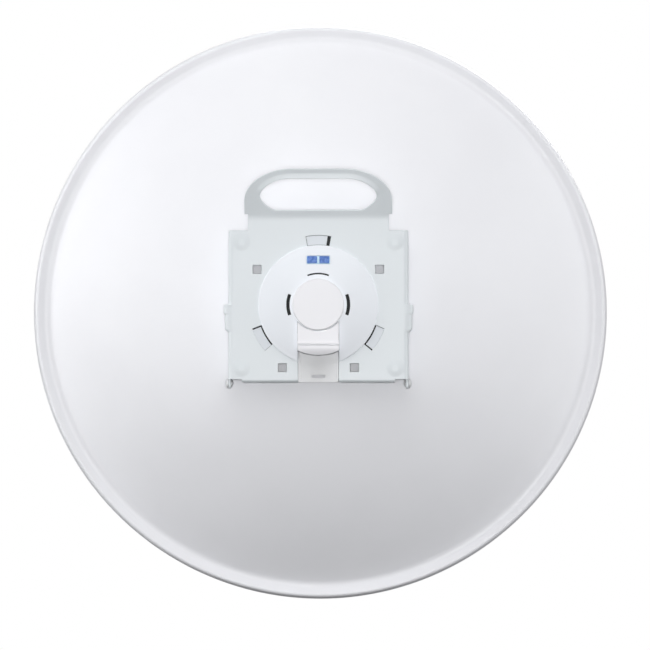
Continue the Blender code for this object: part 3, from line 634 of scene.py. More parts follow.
DISH_COAT = powder_coat("dish", (0.850, 0.856, 0.890), (0.880, 0.886, 0.920))
PLATE_COAT = powder_coat("plate", (0.690, 0.733, 0.761), (0.716, 0.757, 0.784))
WHITE_PLASTIC = moulded_plastic("white", (0.779, 0.779, 0.813), (0.804, 0.804, 0.836), (0.36, 0.46))
DOME_PLASTIC = moulded_plastic("dome", (0.812, 0.841, 0.886), (0.837, 0.866, 0.911), (0.36, 0.46))
# The lock ring's plastic is darker than the white plastic: painted shade for its tabs, which sit recessed in
# the plate's slots.
SHADED_RING_PLASTIC = moulded_plastic("ring", (0.668, 0.704, 0.750), (0.699, 0.733, 0.777), (0.44, 0.54))
TRAY_PLASTIC = moulded_plastic("tray", (0.765, 0.773, 0.788), (0.795, 0.803, 0.815), slot="grey_plastic")
GREY_PLASTIC = moulded_plastic("grey", (0.600, 0.610, 0.620), (0.640, 0.648, 0.656), slot="grey_plastic")
DARK_PLASTIC = moulded_plastic(
    "dark", (0.050, 0.050, 0.058), (0.070, 0.070, 0.078), (0.42, 0.55), slot="dark_plastic"
)
PALE_PANEL = window_plastic("pale_panel", "pale_lens", (0.50, 0.78, 0.97), (0.66, 0.87, 0.99), 260.0)
BLUE_LENS = window_plastic("blue_lens", "blue_lens", (0.048, 0.130, 0.44), (0.096, 0.218, 0.58), 420.0)

# Bright zinc has faint turning marks and a slight yellow and blue cast.
ZINC = surface(
    "zinc_plate", "zinc", (0.52, 0.53, 0.56), (0.66, 0.65, 0.61), (0.26, 0.42),
    (1400.0, 0.00004, 0.25, 3.0), metallic=1.0, tone_scale=160.0, stretch=0.15,
)
# The rivets' zinc is a matt grey. Its pale tone is a painted reflection of bright surroundings.
PAINTED_REFLECTION_ZINC = surface(
    "zinc_painted_reflection", "zinc", (0.62, 0.63, 0.65), (0.70, 0.71, 0.72), (0.50, 0.62),
    (900.0, 0.00004, 0.25, 3.0), metallic=0.25, tone_scale=120.0,
)
GOLD = surface(
    "gold_contact", "zinc", (0.78, 0.56, 0.22), (0.86, 0.66, 0.30), (0.2, 0.32),
    (3000.0, 0.00002, 0.2, 2.0), metallic=1.0, tone_scale=400.0,
)
# Black rubber for the hub's gasket; the same black, in the rings behind the dome's and the plate's slots, is
# painted shade.
BLACK_RUBBER_AND_SHADE = surface(
    "black_rubber", "rubber", (0.022, 0.022, 0.024), (0.040, 0.040, 0.042), (0.7, 0.85),
    (900.0, 0.0001, 0.3, 2.0), tone_scale=60.0,
)


# Reflector

def bowl_y(radius):
    """The bowl's rear surface."""
    return VERTEX_Y + max(radius, HUB_FLAT_RADIUS) ** 2 / (4 * FOCAL_LENGTH)


def bowl_profile(setback):
    """The sheet's rear surface from the hub to the rim, as (radius, y), moved forward by a setback."""
    floor_y = bowl_y(0.0)
    flange_y = bowl_y(BOWL_EDGE_RADIUS)
    slope = BOWL_EDGE_RADIUS / (2 * FOCAL_LENGTH)
    fillet_start = BOWL_EDGE_RADIUS - RIM_FILLET * cos(atan(slope))
    fillet_end = (BOWL_EDGE_RADIUS + RIM_FILLET, flange_y - RIM_FILLET * tan(RIM_LEAN))
    points = [(HUB_HOLE_RADIUS, floor_y), (HUB_FLAT_RADIUS - HUB_FLAT_CREASE, floor_y)]
    points += [(radius, bowl_y(radius)) for radius in spread(HUB_FLAT_RADIUS, fillet_start, BOWL_STEPS)]
    points += bend((fillet_start, bowl_y(fillet_start)), (BOWL_EDGE_RADIUS, flange_y), fillet_end)
    points = [(radius, y + setback) for radius, y in points]
    lean_y = flange_y - (RIM_CURL_START - BOWL_EDGE_RADIUS) * tan(RIM_LEAN)
    centre = (RIM_CURL_START + RIM_CURL * sin(RIM_LEAN), lean_y + RIM_CURL * cos(RIM_LEAN))
    start = -90 - degrees(RIM_LEAN)
    points += arc(centre, RIM_CURL - setback, start, degrees(RIM_FLARE) - 90)
    curl_end, curl_y = points[-1]
    outside = DISH_RADIUS - setback
    return points + [(outside, curl_y + (outside - curl_end) * tan(RIM_FLARE))]


def make_reflector():
    edge = BOWL_SHEET / 2
    rim = arc((DISH_RADIUS - edge, RIM_FRONT_Y - edge), edge, 0, 180, 6)
    profile = bowl_profile(0.0) + rim + bowl_profile(BOWL_SHEET)[::-1]
    add_piece("dish_bowl", turned(profile, BOWL_SEGMENTS), DISH_COAT, "reflector")


# Back plate

def grip_outline():
    """The finger opening in the blank, anticlockwise from its lower left corner."""
    low = HANDLE_FOOT + GRIP_BOTTOM
    middle = HANDLE_FOOT + GRIP_WIDEST
    top = HANDLE_FOOT + GRIP_TOP
    lower_radii = (GRIP_X - GRIP_BOTTOM_FLAT, middle - low)
    upper_radii = (GRIP_X - GRIP_TOP_FLAT, top - middle)
    right = []
    for turn in spread(0.0, pi / 2, 12):
        across = GRIP_BOTTOM_FLAT + lower_radii[0] * sin(turn) ** GRIP_CORNER_POWER
        right.append((across, middle - lower_radii[1] * cos(turn) ** GRIP_CORNER_POWER))
    right += oval((GRIP_TOP_FLAT, middle), upper_radii, 0, 90, 16)[1:]
    return right + mirrored(right)


GRIP = grip_outline()


def offset_loop(loop, distance):
    """A closed anticlockwise loop moved outwards."""
    moved = []
    for index, point in enumerate(loop):
        before = loop[index - 1]
        after = loop[(index + 1) % len(loop)]
        along = Vector((after[0] - before[0], after[1] - before[1])).normalized()
        moved.append((point[0] + along.y * distance, point[1] - along.x * distance))
    return moved


def distance_to_loop(point, loop):
    nearest = 1.0
    for start, end in pairs(loop):
        side = (end[0] - start[0], end[1] - start[1])
        reach = (point[0] - start[0], point[1] - start[1])
        along = reach[0] * side[0] + reach[1] * side[1]
        share = min(max(along / (side[0] ** 2 + side[1] ** 2), 0.0), 1.0)
        nearest = min(nearest, hypot(reach[0] - side[0] * share, reach[1] - side[1] * share))
    return nearest


def is_inside(point, loop):
    inside = False
    for (x1, z1), (x2, z2) in pairs(loop):
        if (z1 > point[1]) != (z2 > point[1]):
            if point[0] < x1 + (x2 - x1) * (point[1] - z1) / (z2 - z1):
                inside = not inside
    return inside


def eased(share):
    share = min(max(share, 0.0), 1.0)
    return share * share * (3 - 2 * share)


def ear_reach(height):
    """How far a side flange stands out at a height, for its pressed ear."""
    for (high, reach_high), (low, reach_low) in zip(EAR_PROFILE, EAR_PROFILE[1:]):
        if low <= height <= high:
            return reach_high + (reach_low - reach_high) * eased((high - height) / (high - low))
    return 0.0


def blister_height(across, up):
    away = hypot(abs(across) - BLISTER_X, abs(up) - BLISTER_Z)
    return BLISTER_HEIGHT * eased((BLISTER_RADIUS - away) / (BLISTER_RADIUS - BLISTER_TOP_RADIUS))


def lip_depth(across, up):
    """How far the edge over the grip opening is turned, towards the bowl if positive."""
    upper_part = eased((up - HANDLE_FOOT - GRIP_WIDEST) / (GRIP_TOP - GRIP_WIDEST) * 2)
    if upper_part == 0.0:
        return 0.0
    away = min(distance_to_loop((across, up), GRIP), LIP_WIDTH)
    return -LIP_TURN * LIP_WIDTH * upper_part * (1 - away / LIP_WIDTH) ** LIP_CURVE


def fold(past, radius, most):
    """How a fold carries a point that lies this far past its start: (onwards, aside, angle)."""
    angle = min(past / radius, most)
    straight = past - radius * angle
    onwards = radius * sin(angle) + straight * cos(angle)
    aside = radius * (1 - cos(angle)) + straight * sin(angle)
    return onwards, aside, angle


def folded(across, up):
    """Where a point of the flat blank lies on the folded plate's rear face."""
    side = 1.0 if across > 0.0 else -1.0
    if abs(across) > FACE_X:
        onwards, aside, angle = fold(abs(across) - FACE_X, FOLD_RADIUS, pi / 2)
        reach = ear_reach(up) * sin(angle)
        return Vector((side * (FACE_X + onwards + reach), aside, up))
    if up < FACE_BOTTOM:
        onwards, aside, _ = fold(FACE_BOTTOM - up, BOTTOM_FOLD_RADIUS, pi / 2)
        return Vector((across, aside, FACE_BOTTOM - onwards))
    if up > HANDLE_FOLD_Z:
        onwards, aside, angle = fold(up - HANDLE_FOLD_Z, HANDLE_FOLD_RADIUS, HANDLE_LEAN)
        dip = lip_depth(across, up)
        height = HANDLE_FOLD_Z + onwards + dip * sin(angle)
        return Vector((across, dip * cos(angle) - aside, height))
    return Vector((across, -blister_height(across, up), up))


def sheet_normal(across, up):
    """The plate's normal at a point of the blank, towards its front face."""
    step = 2e-5
    sideways = folded(across + step, up) - folded(across - step, up)
    upwards = folded(across, up + step) - folded(across, up - step)
    return upwards.cross(sideways).normalized()


def flange_place(y):
    """Where on the blank a side flange reaches a given y."""
    return FACE_X + FOLD_LENGTH + y - FOLD_RADIUS


def flange_edge(height):
    """The blank's outer edge on a side flange: the folded flange ends just short of the bowl."""
    return flange_place(bowl_y(hypot(FLANGE_X, height)) - FLANGE_EDGE_GAP)


def bottom_edge(across):
    reach = bowl_y(hypot(across, FLANGE_Z)) - FLANGE_EDGE_GAP - BOTTOM_FOLD_RADIUS
    return FACE_BOTTOM - BOTTOM_FOLD_LENGTH - reach


def blank_outline():
    """The blank's outer edge, anticlockwise, down the cable channel and round the bore too."""
    stations = spread(CHANNEL_X, BOTTOM_FLANGE_X, 8)
    right = [(across, bottom_edge(across)) for across in stations]
    rear = flange_place(TONGUE_REAR)
    front = flange_place(TONGUE_FRONT)
    bottom = TONGUE_BOTTOM + TONGUE_CORNER
    right += [(BOTTOM_FLANGE_X, FACE_BOTTOM), (rear, FACE_BOTTOM)]
    right += arc((rear + TONGUE_CORNER, bottom), TONGUE_CORNER, 180, 270, 4)
    right += arc((front - TONGUE_CORNER, bottom), TONGUE_CORNER, 270, 360, 4)
    right.append((front, FACE_BOTTOM))
    right += [(flange_edge(height), height) for height in spread(FACE_BOTTOM, FACE_TOP, 12)]
    right += [(HANDLE_NECK_X, FACE_TOP), (HANDLE_NECK_X, HANDLE_FOOT)]
    right.append((HANDLE_X, HANDLE_FOOT))
    middle = (HANDLE_TOP_FLAT, HANDLE_FOOT + HANDLE_SIDE)
    radii = (HANDLE_X - HANDLE_TOP_FLAT, HANDLE_LENGTH - HANDLE_SIDE)
    right += oval(middle, radii, 0, 90, 24)
    return right + mirrored(right) + bore_outline()


def bore_outline():
    """The plate's bore with its lock slots, clockwise from one side of the channel."""
    opening = degrees(asin(CHANNEL_X / PLATE_BORE))
    stops = [(270.0 - opening, PLATE_BORE)]
    for middle in LOCK_SLOT_ANGLES:
        first = middle + LOCK_SLOT_HALF_ANGLE
        last = middle - LOCK_SLOT_HALF_ANGLE
        stops += [(first, PLATE_BORE), (first, LOCK_SLOT_RADIUS)]
        stops += [(last, LOCK_SLOT_RADIUS), (last, PLATE_BORE)]
    stops.append((opening - 90.0, PLATE_BORE))
    points = []
    for (start, radius), (end, _) in zip(stops, stops[1:] + stops[-1:]):
        steps = max(1, round((start - end) / BORE_STEP))
        points += arc(HUB, radius, start, end, steps)[:-1]
    return points


def blank_holes():
    """The openings, each an anticlockwise loop."""
    holes = [GRIP]
    half = BOLT_HOLE_HALF
    for side in (-1, 1):
        for across, up in BOLT_HOLES:
            square = rounded_block(half, up - half, up + half, BOLT_HOLE_CORNER, 2)
            holes.append([(x + side * across, z) for x, z in square])
        holes.append(arc((side * flange_place(RIVET_Y), RIVET_Z), RIVET_HOLE_RADIUS, 0, 360, 20)[:-1])
    return holes


def blank_rings(outline, holes):
    """Closed creases: round the blisters, along the grip opening's lip and beside every cut edge."""
    rings = [offset_loop(GRIP, distance) for distance in LIP_RINGS]
    for across in (-BLISTER_X, BLISTER_X):
        for up in (-BLISTER_Z, BLISTER_Z):
            for radius in spread(BLISTER_TOP_RADIUS, BLISTER_RADIUS, 5):
                rings.append(arc((across, up), radius, 0, 360, 28)[:-1])
    for distance in (EDGE_ROUND * 0.3, EDGE_ROUND):
        rings.append(offset_loop(outline, -distance))
        rings += [offset_loop(hole, distance) for hole in holes[1:]]
    return rings


def blank_creases():
    """Straight creases across the folds and the ears, each a little longer than the blank."""
    bottom_reach = BOTTOM_FLANGE_X + CREASE_OVERLAP
    handle_reach = HANDLE_X + CREASE_OVERLAP
    creases = []
    for share in spread(0.0, 1.0, FOLD_STEPS):
        low = FACE_BOTTOM - BOTTOM_FOLD_LENGTH * share
        creases.append(((-bottom_reach, low), (bottom_reach, low)))
        for side in (-1, 1):
            across = side * (FACE_X + FOLD_LENGTH * share)
            creases.append(((across, FACE_BOTTOM - CREASE_OVERLAP), (across, FACE_TOP + CREASE_OVERLAP)))
        up = HANDLE_FOLD_Z + HANDLE_FOLD_LENGTH * share
        creases.append(((-handle_reach, up), (handle_reach, up)))
    for (high, _), (low, _) in zip(EAR_PROFILE, EAR_PROFILE[1:]):
        for height in spread(high, low, 4):
            for side in (-1, 1):
                outer = side * (flange_edge(height) + CREASE_OVERLAP)
                creases.append(((side * FACE_X, height), (outer, height)))
    return creases


def blank_triangles(outline, holes):
    """The flat blank cut into triangles along its creases: (points, triangles)."""
    points = []
    edges = []
    for loop in [outline] + holes + blank_rings(outline, holes):
        first = len(points)
        points += [Vector(point) for point in loop]
        edges += [(first + step, first + (step + 1) % len(loop)) for step in range(len(loop))]
    for start, end in blank_creases():
        edges.append((len(points), len(points) + 1))
        points += [Vector(start), Vector(end)]
    found, _, faces, *_ = delaunay_2d_cdt(points, edges, [], 0, 1e-7)
    kept = []
    for face in faces:
        middle = sum((found[index] for index in face), Vector((0.0, 0.0))) / 3
        if is_inside(middle, outline) and not any(is_inside(middle, hole) for hole in holes):
            kept.append(tuple(face))
    return found, kept


def edge_sink(point, loops):
    """How far the coat's round edge lies below the sheet's face at a point of the blank."""
    away = min(distance_to_loop(point, loop) for loop in loops)
    if away > EDGE_ROUND:
        return 0.0
    return EDGE_ROUND - sqrt(EDGE_ROUND**2 - (EDGE_ROUND - away) ** 2)


def make_back_plate():
    outline = blank_outline()
    holes = blank_holes()
    points, faces = blank_triangles(outline, holes)
    shape = bmesh.new()
    rear = {}
    front = {}
    for index in sorted({index for face in faces for index in face}):
        across, up = points[index]
        place = folded(across, up)
        normal = sheet_normal(across, up)
        sink = edge_sink((across, up), [outline] + holes)
        rear[index] = shape.verts.new(place + normal * sink)
        front[index] = shape.verts.new(place + normal * (PLATE_SHEET - sink))
    sides = set()
    for a, b, c in faces:
        shape.faces.new((rear[a], rear[b], rear[c]))
        shape.faces.new((front[c], front[b], front[a]))
        for edge in ((a, b), (b, c), (c, a)):
            if edge[::-1] in sides:
                sides.remove(edge[::-1])
            else:
                sides.add(edge)
    for a, b in sorted(sides):
        shape.faces.new((rear[b], rear[a], front[a], front[b]))
    keep_flat(add_piece("folded_plate", mesh_of(shape), PLATE_COAT, "back_plate", smooth_angle=60))


def rivet_profile():
    """A round head, a shank and a smaller set end, outer end first, along the shape's own y axis."""
    inner = PLATE_SHEET + SEAT
    shank = RIVET_HOLE_RADIUS - SEAT
    head = oval(HUB, (RIVET_HEAD_RADIUS, RIVET_HEAD), 90, 0)
    profile = [(0.0, SEAT + RIVET_HEAD)] + [(radius, y + SEAT) for radius, y in head[1:]]
    profile += [(shank, SEAT), (shank, -inner)]
    profile += [(radius * RIVET_TAIL, -y * RIVET_TAIL - inner) for radius, y in head[:0:-1]]
    return profile + [(0.0, -inner - RIVET_HEAD * RIVET_TAIL)]


def make_rivets():
    """One through each side flange's tongue."""
    for name, side in SIDES:
        turn = Matrix.Rotation(-side * pi / 2, 4, "Z")
        mesh = placed(turned(rivet_profile(), 40), shift(side * FLANGE_X, RIVET_Y, RIVET_Z) @ turn)
        add_piece(f"tongue_rivet_{name}", mesh, PAINTED_REFLECTION_ZINC, f"flange_rivet_{name}")


# Posts and screws

def post_ring(shape, across, up, share, radius, six_sided):
    """One ring of a post's corners, at a share of the way from the plate to the bowl."""
    rear = PLATE_SHEET + SEAT
    ring = []
    for angle in full_turn(POST_SIDES):
        reach = radius
        if six_sided:
            off_middle = (angle + pi / 6) % (pi / 3) - pi / 6
            reach = min(radius / cos(off_middle), radius * POST_CORNER)
        x = across + reach * cos(angle)
        z = up + reach * sin(angle)
        front = bowl_y(hypot(x, z)) - SEAT
        ring.append(shape.verts.new((x, rear + (front - rear) * share, z)))
    return ring


def make_standoffs():
    """Hexagonal posts with turned ends, from the plate's blisters to the bowl."""
    for place, side, level in CORNERS:
        shape = bmesh.new()
        rings = [post_ring(shape, side * BLISTER_X, level * BLISTER_Z, *ring) for ring in POST_RINGS]
        for here, after in zip(rings, rings[1:]):
            for index in range(POST_SIDES):
                far = (index + 1) % POST_SIDES
                shape.faces.new((here[index], here[far], after[far], after[index]))
        shape.faces.new(rings[0])
        shape.faces.new(rings[-1])
        add_piece(f"post_{place}", mesh_of(shape), ZINC, f"standoff_{place}", smooth_angle=28)


def bowl_slope_at(across, up):
    """The point of the bowl's front surface before (across, up), and the turn from +y to its normal."""
    radius = hypot(across, up)
    slope = radius / (2 * FOCAL_LENGTH)
    normal = Vector((-slope * across / radius, 1.0, -slope * up / radius)).normalized()
    turn = Vector((0.0, 1.0, 0.0)).rotation_difference(normal).to_matrix().to_4x4()
    return Vector((across, bowl_y(radius) + BOWL_SHEET, up)), turn


def pan_screw(radius, height):
    """A pan-head screw with a cross recess, and its washer, whose foot is at y = 0."""
    top = WASHER + height
    profile = [(0.0, 0.0), (radius * 1.35, 0.0), (radius * 1.35, WASHER * 0.8)]
    profile += [(radius * 1.28, WASHER), (radius, WASHER)]
    profile += oval((0.0, WASHER), (radius, height), 0, 84)[1:] + [(0.0, top)]
    reach = radius * 0.6
    arm = reach * 0.17
    depth = height * 0.7
    outlines = (block(arm, -reach, reach), block(reach, -arm, arm))
    recess = [prism(outline, top - depth, top + depth) for outline in outlines]
    return cut(turned(profile, 40), *recess)


def make_bowl_screws():
    """Four screws through the bowl into the standoffs, each left at its own angle."""
    for place, side, level in CORNERS:
        point, turn = bowl_slope_at(side * BLISTER_X, level * BLISTER_Z)
        matrix = Matrix.Translation(point) @ turn @ spin(radians(17 + 41 * side + 23 * level))
        add_piece(f"bowl_screw_{place}", placed(pan_screw(*BOWL_SCREW), matrix), ZINC)


# Feed housing

def circle_foot(half_width, radius):
    """The lowest stretch of a circle about the hub, from a channel's left side to its right."""
    reach = degrees(asin(half_width / radius))
    return arc(HUB, radius, -reach - 90, reach - 90, 24)


def channel_outline(half_width, radius, low):
    """A channel's outline: straight sides and bottom, and a top cut to a circle about the hub."""
    return [(-half_width, low), (half_width, low)] + circle_foot(half_width, radius)[::-1]


def make_housing_body():
    """The hub's drum with a ribbed waist, its neck through the bowl and the plug's channel."""
    waist = BODY_RADIUS - RIB_DEPTH
    profile = [
        (0.0, BODY_REAR_Y),
        (BODY_RADIUS, BODY_REAR_Y),
        (BODY_RADIUS, RING_FRONT_Y + DRUM_LAND),
        (waist, RING_FRONT_Y + DRUM_LAND + RIB_DEPTH),
        (waist, BODY_FRONT_Y - DRUM_LAND - RIB_DEPTH),
        (BODY_RADIUS, BODY_FRONT_Y - DRUM_LAND),
        (BODY_RADIUS, BODY_FRONT_Y),
        (NECK_RADIUS, BODY_FRONT_Y),
        (NECK_RADIUS, NECK_FRONT_Y),
        (0.0, NECK_FRONT_Y),
    ]
    channel = block(DOME_CUT_X, -1.5 * BODY_RADIUS, CHANNEL_TOP_Z)
    drum = cut(turned(profile), prism(channel, BEHIND, CHANNEL_FLOOR_Y))
    soften(add_piece("housing_drum", drum, WHITE_PLASTIC, "housing_body"), 0.0003)


def make_drum_ribs():
    """Grip ribs in the drum's waist, left out where the cable tray lies."""
    inner = BODY_RADIUS - RIB_DEPTH - SEAT
    outer = BODY_RADIUS - SEAT / 2
    side = outer - RIB_CREST
    half = RIB_HALF_WIDTH
    outline = [(inner, -half), (side, -half), (outer, 0.0), (side, half), (inner, half)]
    end = DRUM_LAND + RIB_END_GAP
    rib = prism(outline, RING_FRONT_Y + end, BODY_FRONT_Y - end)
    turns = []
    for angle in full_turn(RIB_COUNT):
        if sin(angle) <= 0 or abs(cos(angle)) >= RIB_FREE_SHARE:
            turns.append(spin(angle))
    add_piece("drum_ribs", copies(rib, turns), WHITE_PLASTIC)


def make_dome_slot_shade():
    """A black ring on the drum's face: painted shade that shows through the dome's arc slots."""
    front = BODY_REAR_Y - SEAT / 3
    outer = ARC_SLOT_OUTER + DOME_SHADE_OUTSIDE
    shade_ring = hoop(ARC_SLOT_INNER - DOME_SHADE_INSIDE, outer, front - DOME_SHADE_SHEET, front)
    channel = block(DOME_CUT_X, -outer, CHANNEL_TOP_Z)
    # The black ring stands in for the shade deep inside the arc slots.
    add_piece("dome_slot_shade", cut(shade_ring, through(channel)), BLACK_RUBBER_AND_SHADE)


def dome_y(radius):
    """The dome's rear surface, a shallow spherical cap about a flat top."""
    share = (radius**2 - DOME_TOP_RADIUS**2) / (DOME_CURVE_RADIUS**2 - DOME_TOP_RADIUS**2)
    return DOME_TOP_Y + (DOME_CURVE_Y - DOME_TOP_Y) * max(share, 0.0)


def arc_slot(middle, inner_radius):
    start = middle - ARC_SLOT_HALF_ANGLE
    end = middle + ARC_SLOT_HALF_ANGLE
    outline = arc(HUB, ARC_SLOT_OUTER, start, end, 16) + arc(HUB, inner_radius, end, start, 16)
    return through(outline)


def window_matrix():
    """The status window's place: tilted to the dome's slope, at the dome's surface."""
    step = 0.001
    slope = (dome_y(WINDOW_Z + step) - dome_y(WINDOW_Z - step)) / (2 * step)
    return shift(0.0, dome_y(WINDOW_Z), WINDOW_Z) @ Matrix.Rotation(-atan(slope), 4, "X")


def make_housing_dome():
    radii = spread(DOME_TOP_RADIUS, DOME_CURVE_RADIUS, DOME_CURVE_STEPS)
    width = DOME_RADIUS - DOME_CURVE_RADIUS
    profile = [(0.0, DOME_TOP_Y)] + [(radius, dome_y(radius)) for radius in radii]
    profile += [(DOME_CURVE_RADIUS + width * share, DOME_CURVE_Y + fall) for share, fall in DOME_SHOULDER]
    profile += [(DOME_RADIUS, DOME_EDGE_Y), (DOME_RADIUS, -SEAT), (DOME_CURVE_RADIUS - DOME_WALL, -SEAT)]
    profile += [(radius - DOME_WALL / 3, dome_y(radius) + DOME_WALL) for radius in radii[-2::-1]]
    profile.append((0.0, DOME_TOP_Y + DOME_WALL))
    cutters = [through(channel_outline(DOME_CUT_X, DOME_TOP_RADIUS + SEAT, -1.2 * DOME_RADIUS))]
    for middle, inner_radius in ((0.0, ARC_SLOT_INNER), (90.0, TOP_SLOT_INNER), (180.0, ARC_SLOT_INNER)):
        cutters.append(arc_slot(middle, inner_radius))
    high = WINDOW_HALF_HEIGHT + SEAT
    pocket = rounded_block(WINDOW_X + SEAT, -high, high, POCKET_CORNER)
    cutters.append(placed(prism(pocket, BEHIND, WINDOW_SUNK + WINDOW_THICKNESS), window_matrix()))
    dome = cut(turned(profile, 160), *cutters)
    soften(add_piece("dome_cover", dome, DOME_PLASTIC, "housing_dome"), 0.0003)


def make_end_disc():
    """The housing's round end, with a rounded edge and a fine step inside it."""
    edge = 0.0012
    step = 0.00012
    profile = [(0.0, DISC_REAR_Y + step), (DISC_RADIUS - 2.4 * edge, DISC_REAR_Y + step)]
    profile.append((DISC_RADIUS - 2.2 * edge, DISC_REAR_Y))
    profile += arc((DISC_RADIUS - edge, DISC_REAR_Y + edge), edge, -90, 0, 6)
    profile += [(DISC_RADIUS, DOME_TOP_Y - SEAT), (0.0, DOME_TOP_Y - SEAT)]
    piece = add_piece("hub_disc", turned(profile), WHITE_PLASTIC, "end_disc")
    keep_flat(piece, keep_sharp=False)


def cover_profile(inwards, front):
    """The cover's rear from its top to its chin, in (y, z), closed along a flat front."""
    rear = COVER_REAR_Y + inwards
    groove = GROOVE_Y + 0.75 * inwards
    profile = [(front, 0.0), (rear, 0.0), (rear, COVER_LIP_Z + inwards)]
    profile += [(groove, COVER_LIP_Z + inwards / 2), (groove, CHIN_TOP_Z + COVER_LIP_PROUD)]
    profile.append((CHIN_TOP_Y + inwards, CHIN_TOP_Z))
    chin_z = CHIN_TOP_Z - CHIN_STRIP
    curve = (chin_z - CHIN_END_Z) / (sin(CHIN_END_TURN) - sin(CHIN_START_TURN))
    for turn in spread(CHIN_START_TURN, CHIN_END_TURN, CHIN_STEPS):
        y = CHIN_TOP_Y + inwards + curve * (cos(CHIN_START_TURN) - cos(turn))
        profile.append((y, chin_z - curve * (sin(turn) - sin(CHIN_START_TURN))))
    return profile + [(front, CHIN_END_Z)]


def make_port_cover():
    """A hood over the jack, open below, with a lip and a curved chin under the lip."""
    front = CHANNEL_FLOOR_Y - SEAT
    inner = COVER_X - COVER_WALL
    outline = circle_foot(COVER_X, BODY_RADIUS)
    outline += circle_foot(COVER_X, DOME_TOP_RADIUS + 2 * SEAT)[::-1]
    outside = slab(cover_profile(0.0, 2 * front), 2 * COVER_X)
    hood = combined(prism(outline, 2 * COVER_REAR_Y, front), outside, "INTERSECT")
    lip = block(COVER_X + COVER_LIP_PROUD, COVER_LIP_Z, COVER_LIP_Z + COVER_LIP_HEIGHT)
    lip = prism(lip, COVER_REAR_Y - COVER_LIP_PROUD, COVER_REAR_Y + COVER_WALL / 2)
    room = channel_outline(inner, DOME_TOP_RADIUS + COVER_WALL, 1.5 * CHIN_END_Z)
    inside = slab(cover_profile(COVER_WALL, 3 * front), 2 * COVER_X)
    hollow = combined(prism(room, 2 * COVER_REAR_Y, 2 * front), inside, "INTERSECT")
    jack_room = prism(block(inner, JACK_MOUTH_Z, JACK_TOP_Z / 2), DOME_TOP_Y + DOME_WALL, 2 * front)
    cover = cut(joined(hood, lip), hollow, jack_room)
    soften(add_piece("jack_hood", cover, WHITE_PLASTIC, "port_cover"), 0.00035)


def make_network_jack():
    """A jack with its latch slot, eight contacts and a thin shield round it."""
    front = CHANNEL_FLOOR_Y - SEAT
    socket = block(SOCKET_X, 2 * JACK_MOUTH_Z, JACK_MOUTH_Z + SOCKET_DEPTH)
    latch = block(SOCKET_X / 2, 2 * JACK_MOUTH_Z, JACK_MOUTH_Z + LATCH_DEPTH)
    jack = cut(
        prism(block(JACK_X, JACK_MOUTH_Z, JACK_TOP_Z), JACK_REAR_Y, front),
        prism(socket, SOCKET_Y, SOCKET_Y + SOCKET_HEIGHT - LATCH_STEP),
        prism(latch, SOCKET_Y + SOCKET_HEIGHT / 2, SOCKET_Y + SOCKET_HEIGHT),
    )
    soften(add_piece("jack_block", jack, DARK_PLASTIC, "network_jack"), 0.0002)
    profile = []
    for (y, z), sheet in zip((CONTACT_FOOT, CONTACT_FOOT, CONTACT_TIP, CONTACT_TIP), (0, 1, 1, 0)):
        profile.append((SOCKET_Y + y + sheet * CONTACT_SHEET, JACK_MOUTH_Z + z))
    first = -CONTACT_PITCH * (CONTACT_COUNT - 1) / 2
    places = [shift(across, 0, 0) for across in spread(first, -first, CONTACT_COUNT - 1)]
    add_piece("jack_contacts", copies(slab(profile, CONTACT_HALF_WIDTH), places), GOLD)
    outer = block(JACK_X + SHIELD, JACK_MOUTH_Z + SHIELD_MOUTH_GAP, JACK_TOP_Z - SHIELD_TOP_GAP)
    room = block(JACK_X + SHIELD / 10, 2 * JACK_MOUTH_Z, 0.0)
    shell = cut(
        prism(outer, JACK_REAR_Y - SHIELD, front - SEAT),
        prism(room, JACK_REAR_Y - SHIELD / 10, AHEAD),
    )
    add_piece("jack_shield", shell, ZINC)


def make_cable_tray():
    """The trough below the cover, with the slot for a cable tie."""
    outline = channel_outline(TRAY_X, BODY_RADIUS + SEAT, TRAY_BOTTOM_Z)
    inside = block(TRAY_X - TRAY_WALL, 2 * TRAY_BOTTOM_Z, 0.0)
    half = TIE_SLOT_HALF_LENGTH - TIE_SLOT_HALF_WIDTH
    slot = arc((half, TIE_SLOT_Z), TIE_SLOT_HALF_WIDTH, -90, 90, 10)
    slot += arc((-half, TIE_SLOT_Z), TIE_SLOT_HALF_WIDTH, 90, 270, 10)
    tray = prism(outline, SEAT, TRAY_FLOOR_Y + TRAY_SHEET)
    tray = cut(tray, prism(inside, BEHIND, TRAY_FLOOR_Y), through(slot))
    soften(add_piece("trough", tray, TRAY_PLASTIC, "cable_tray"), 0.00025)


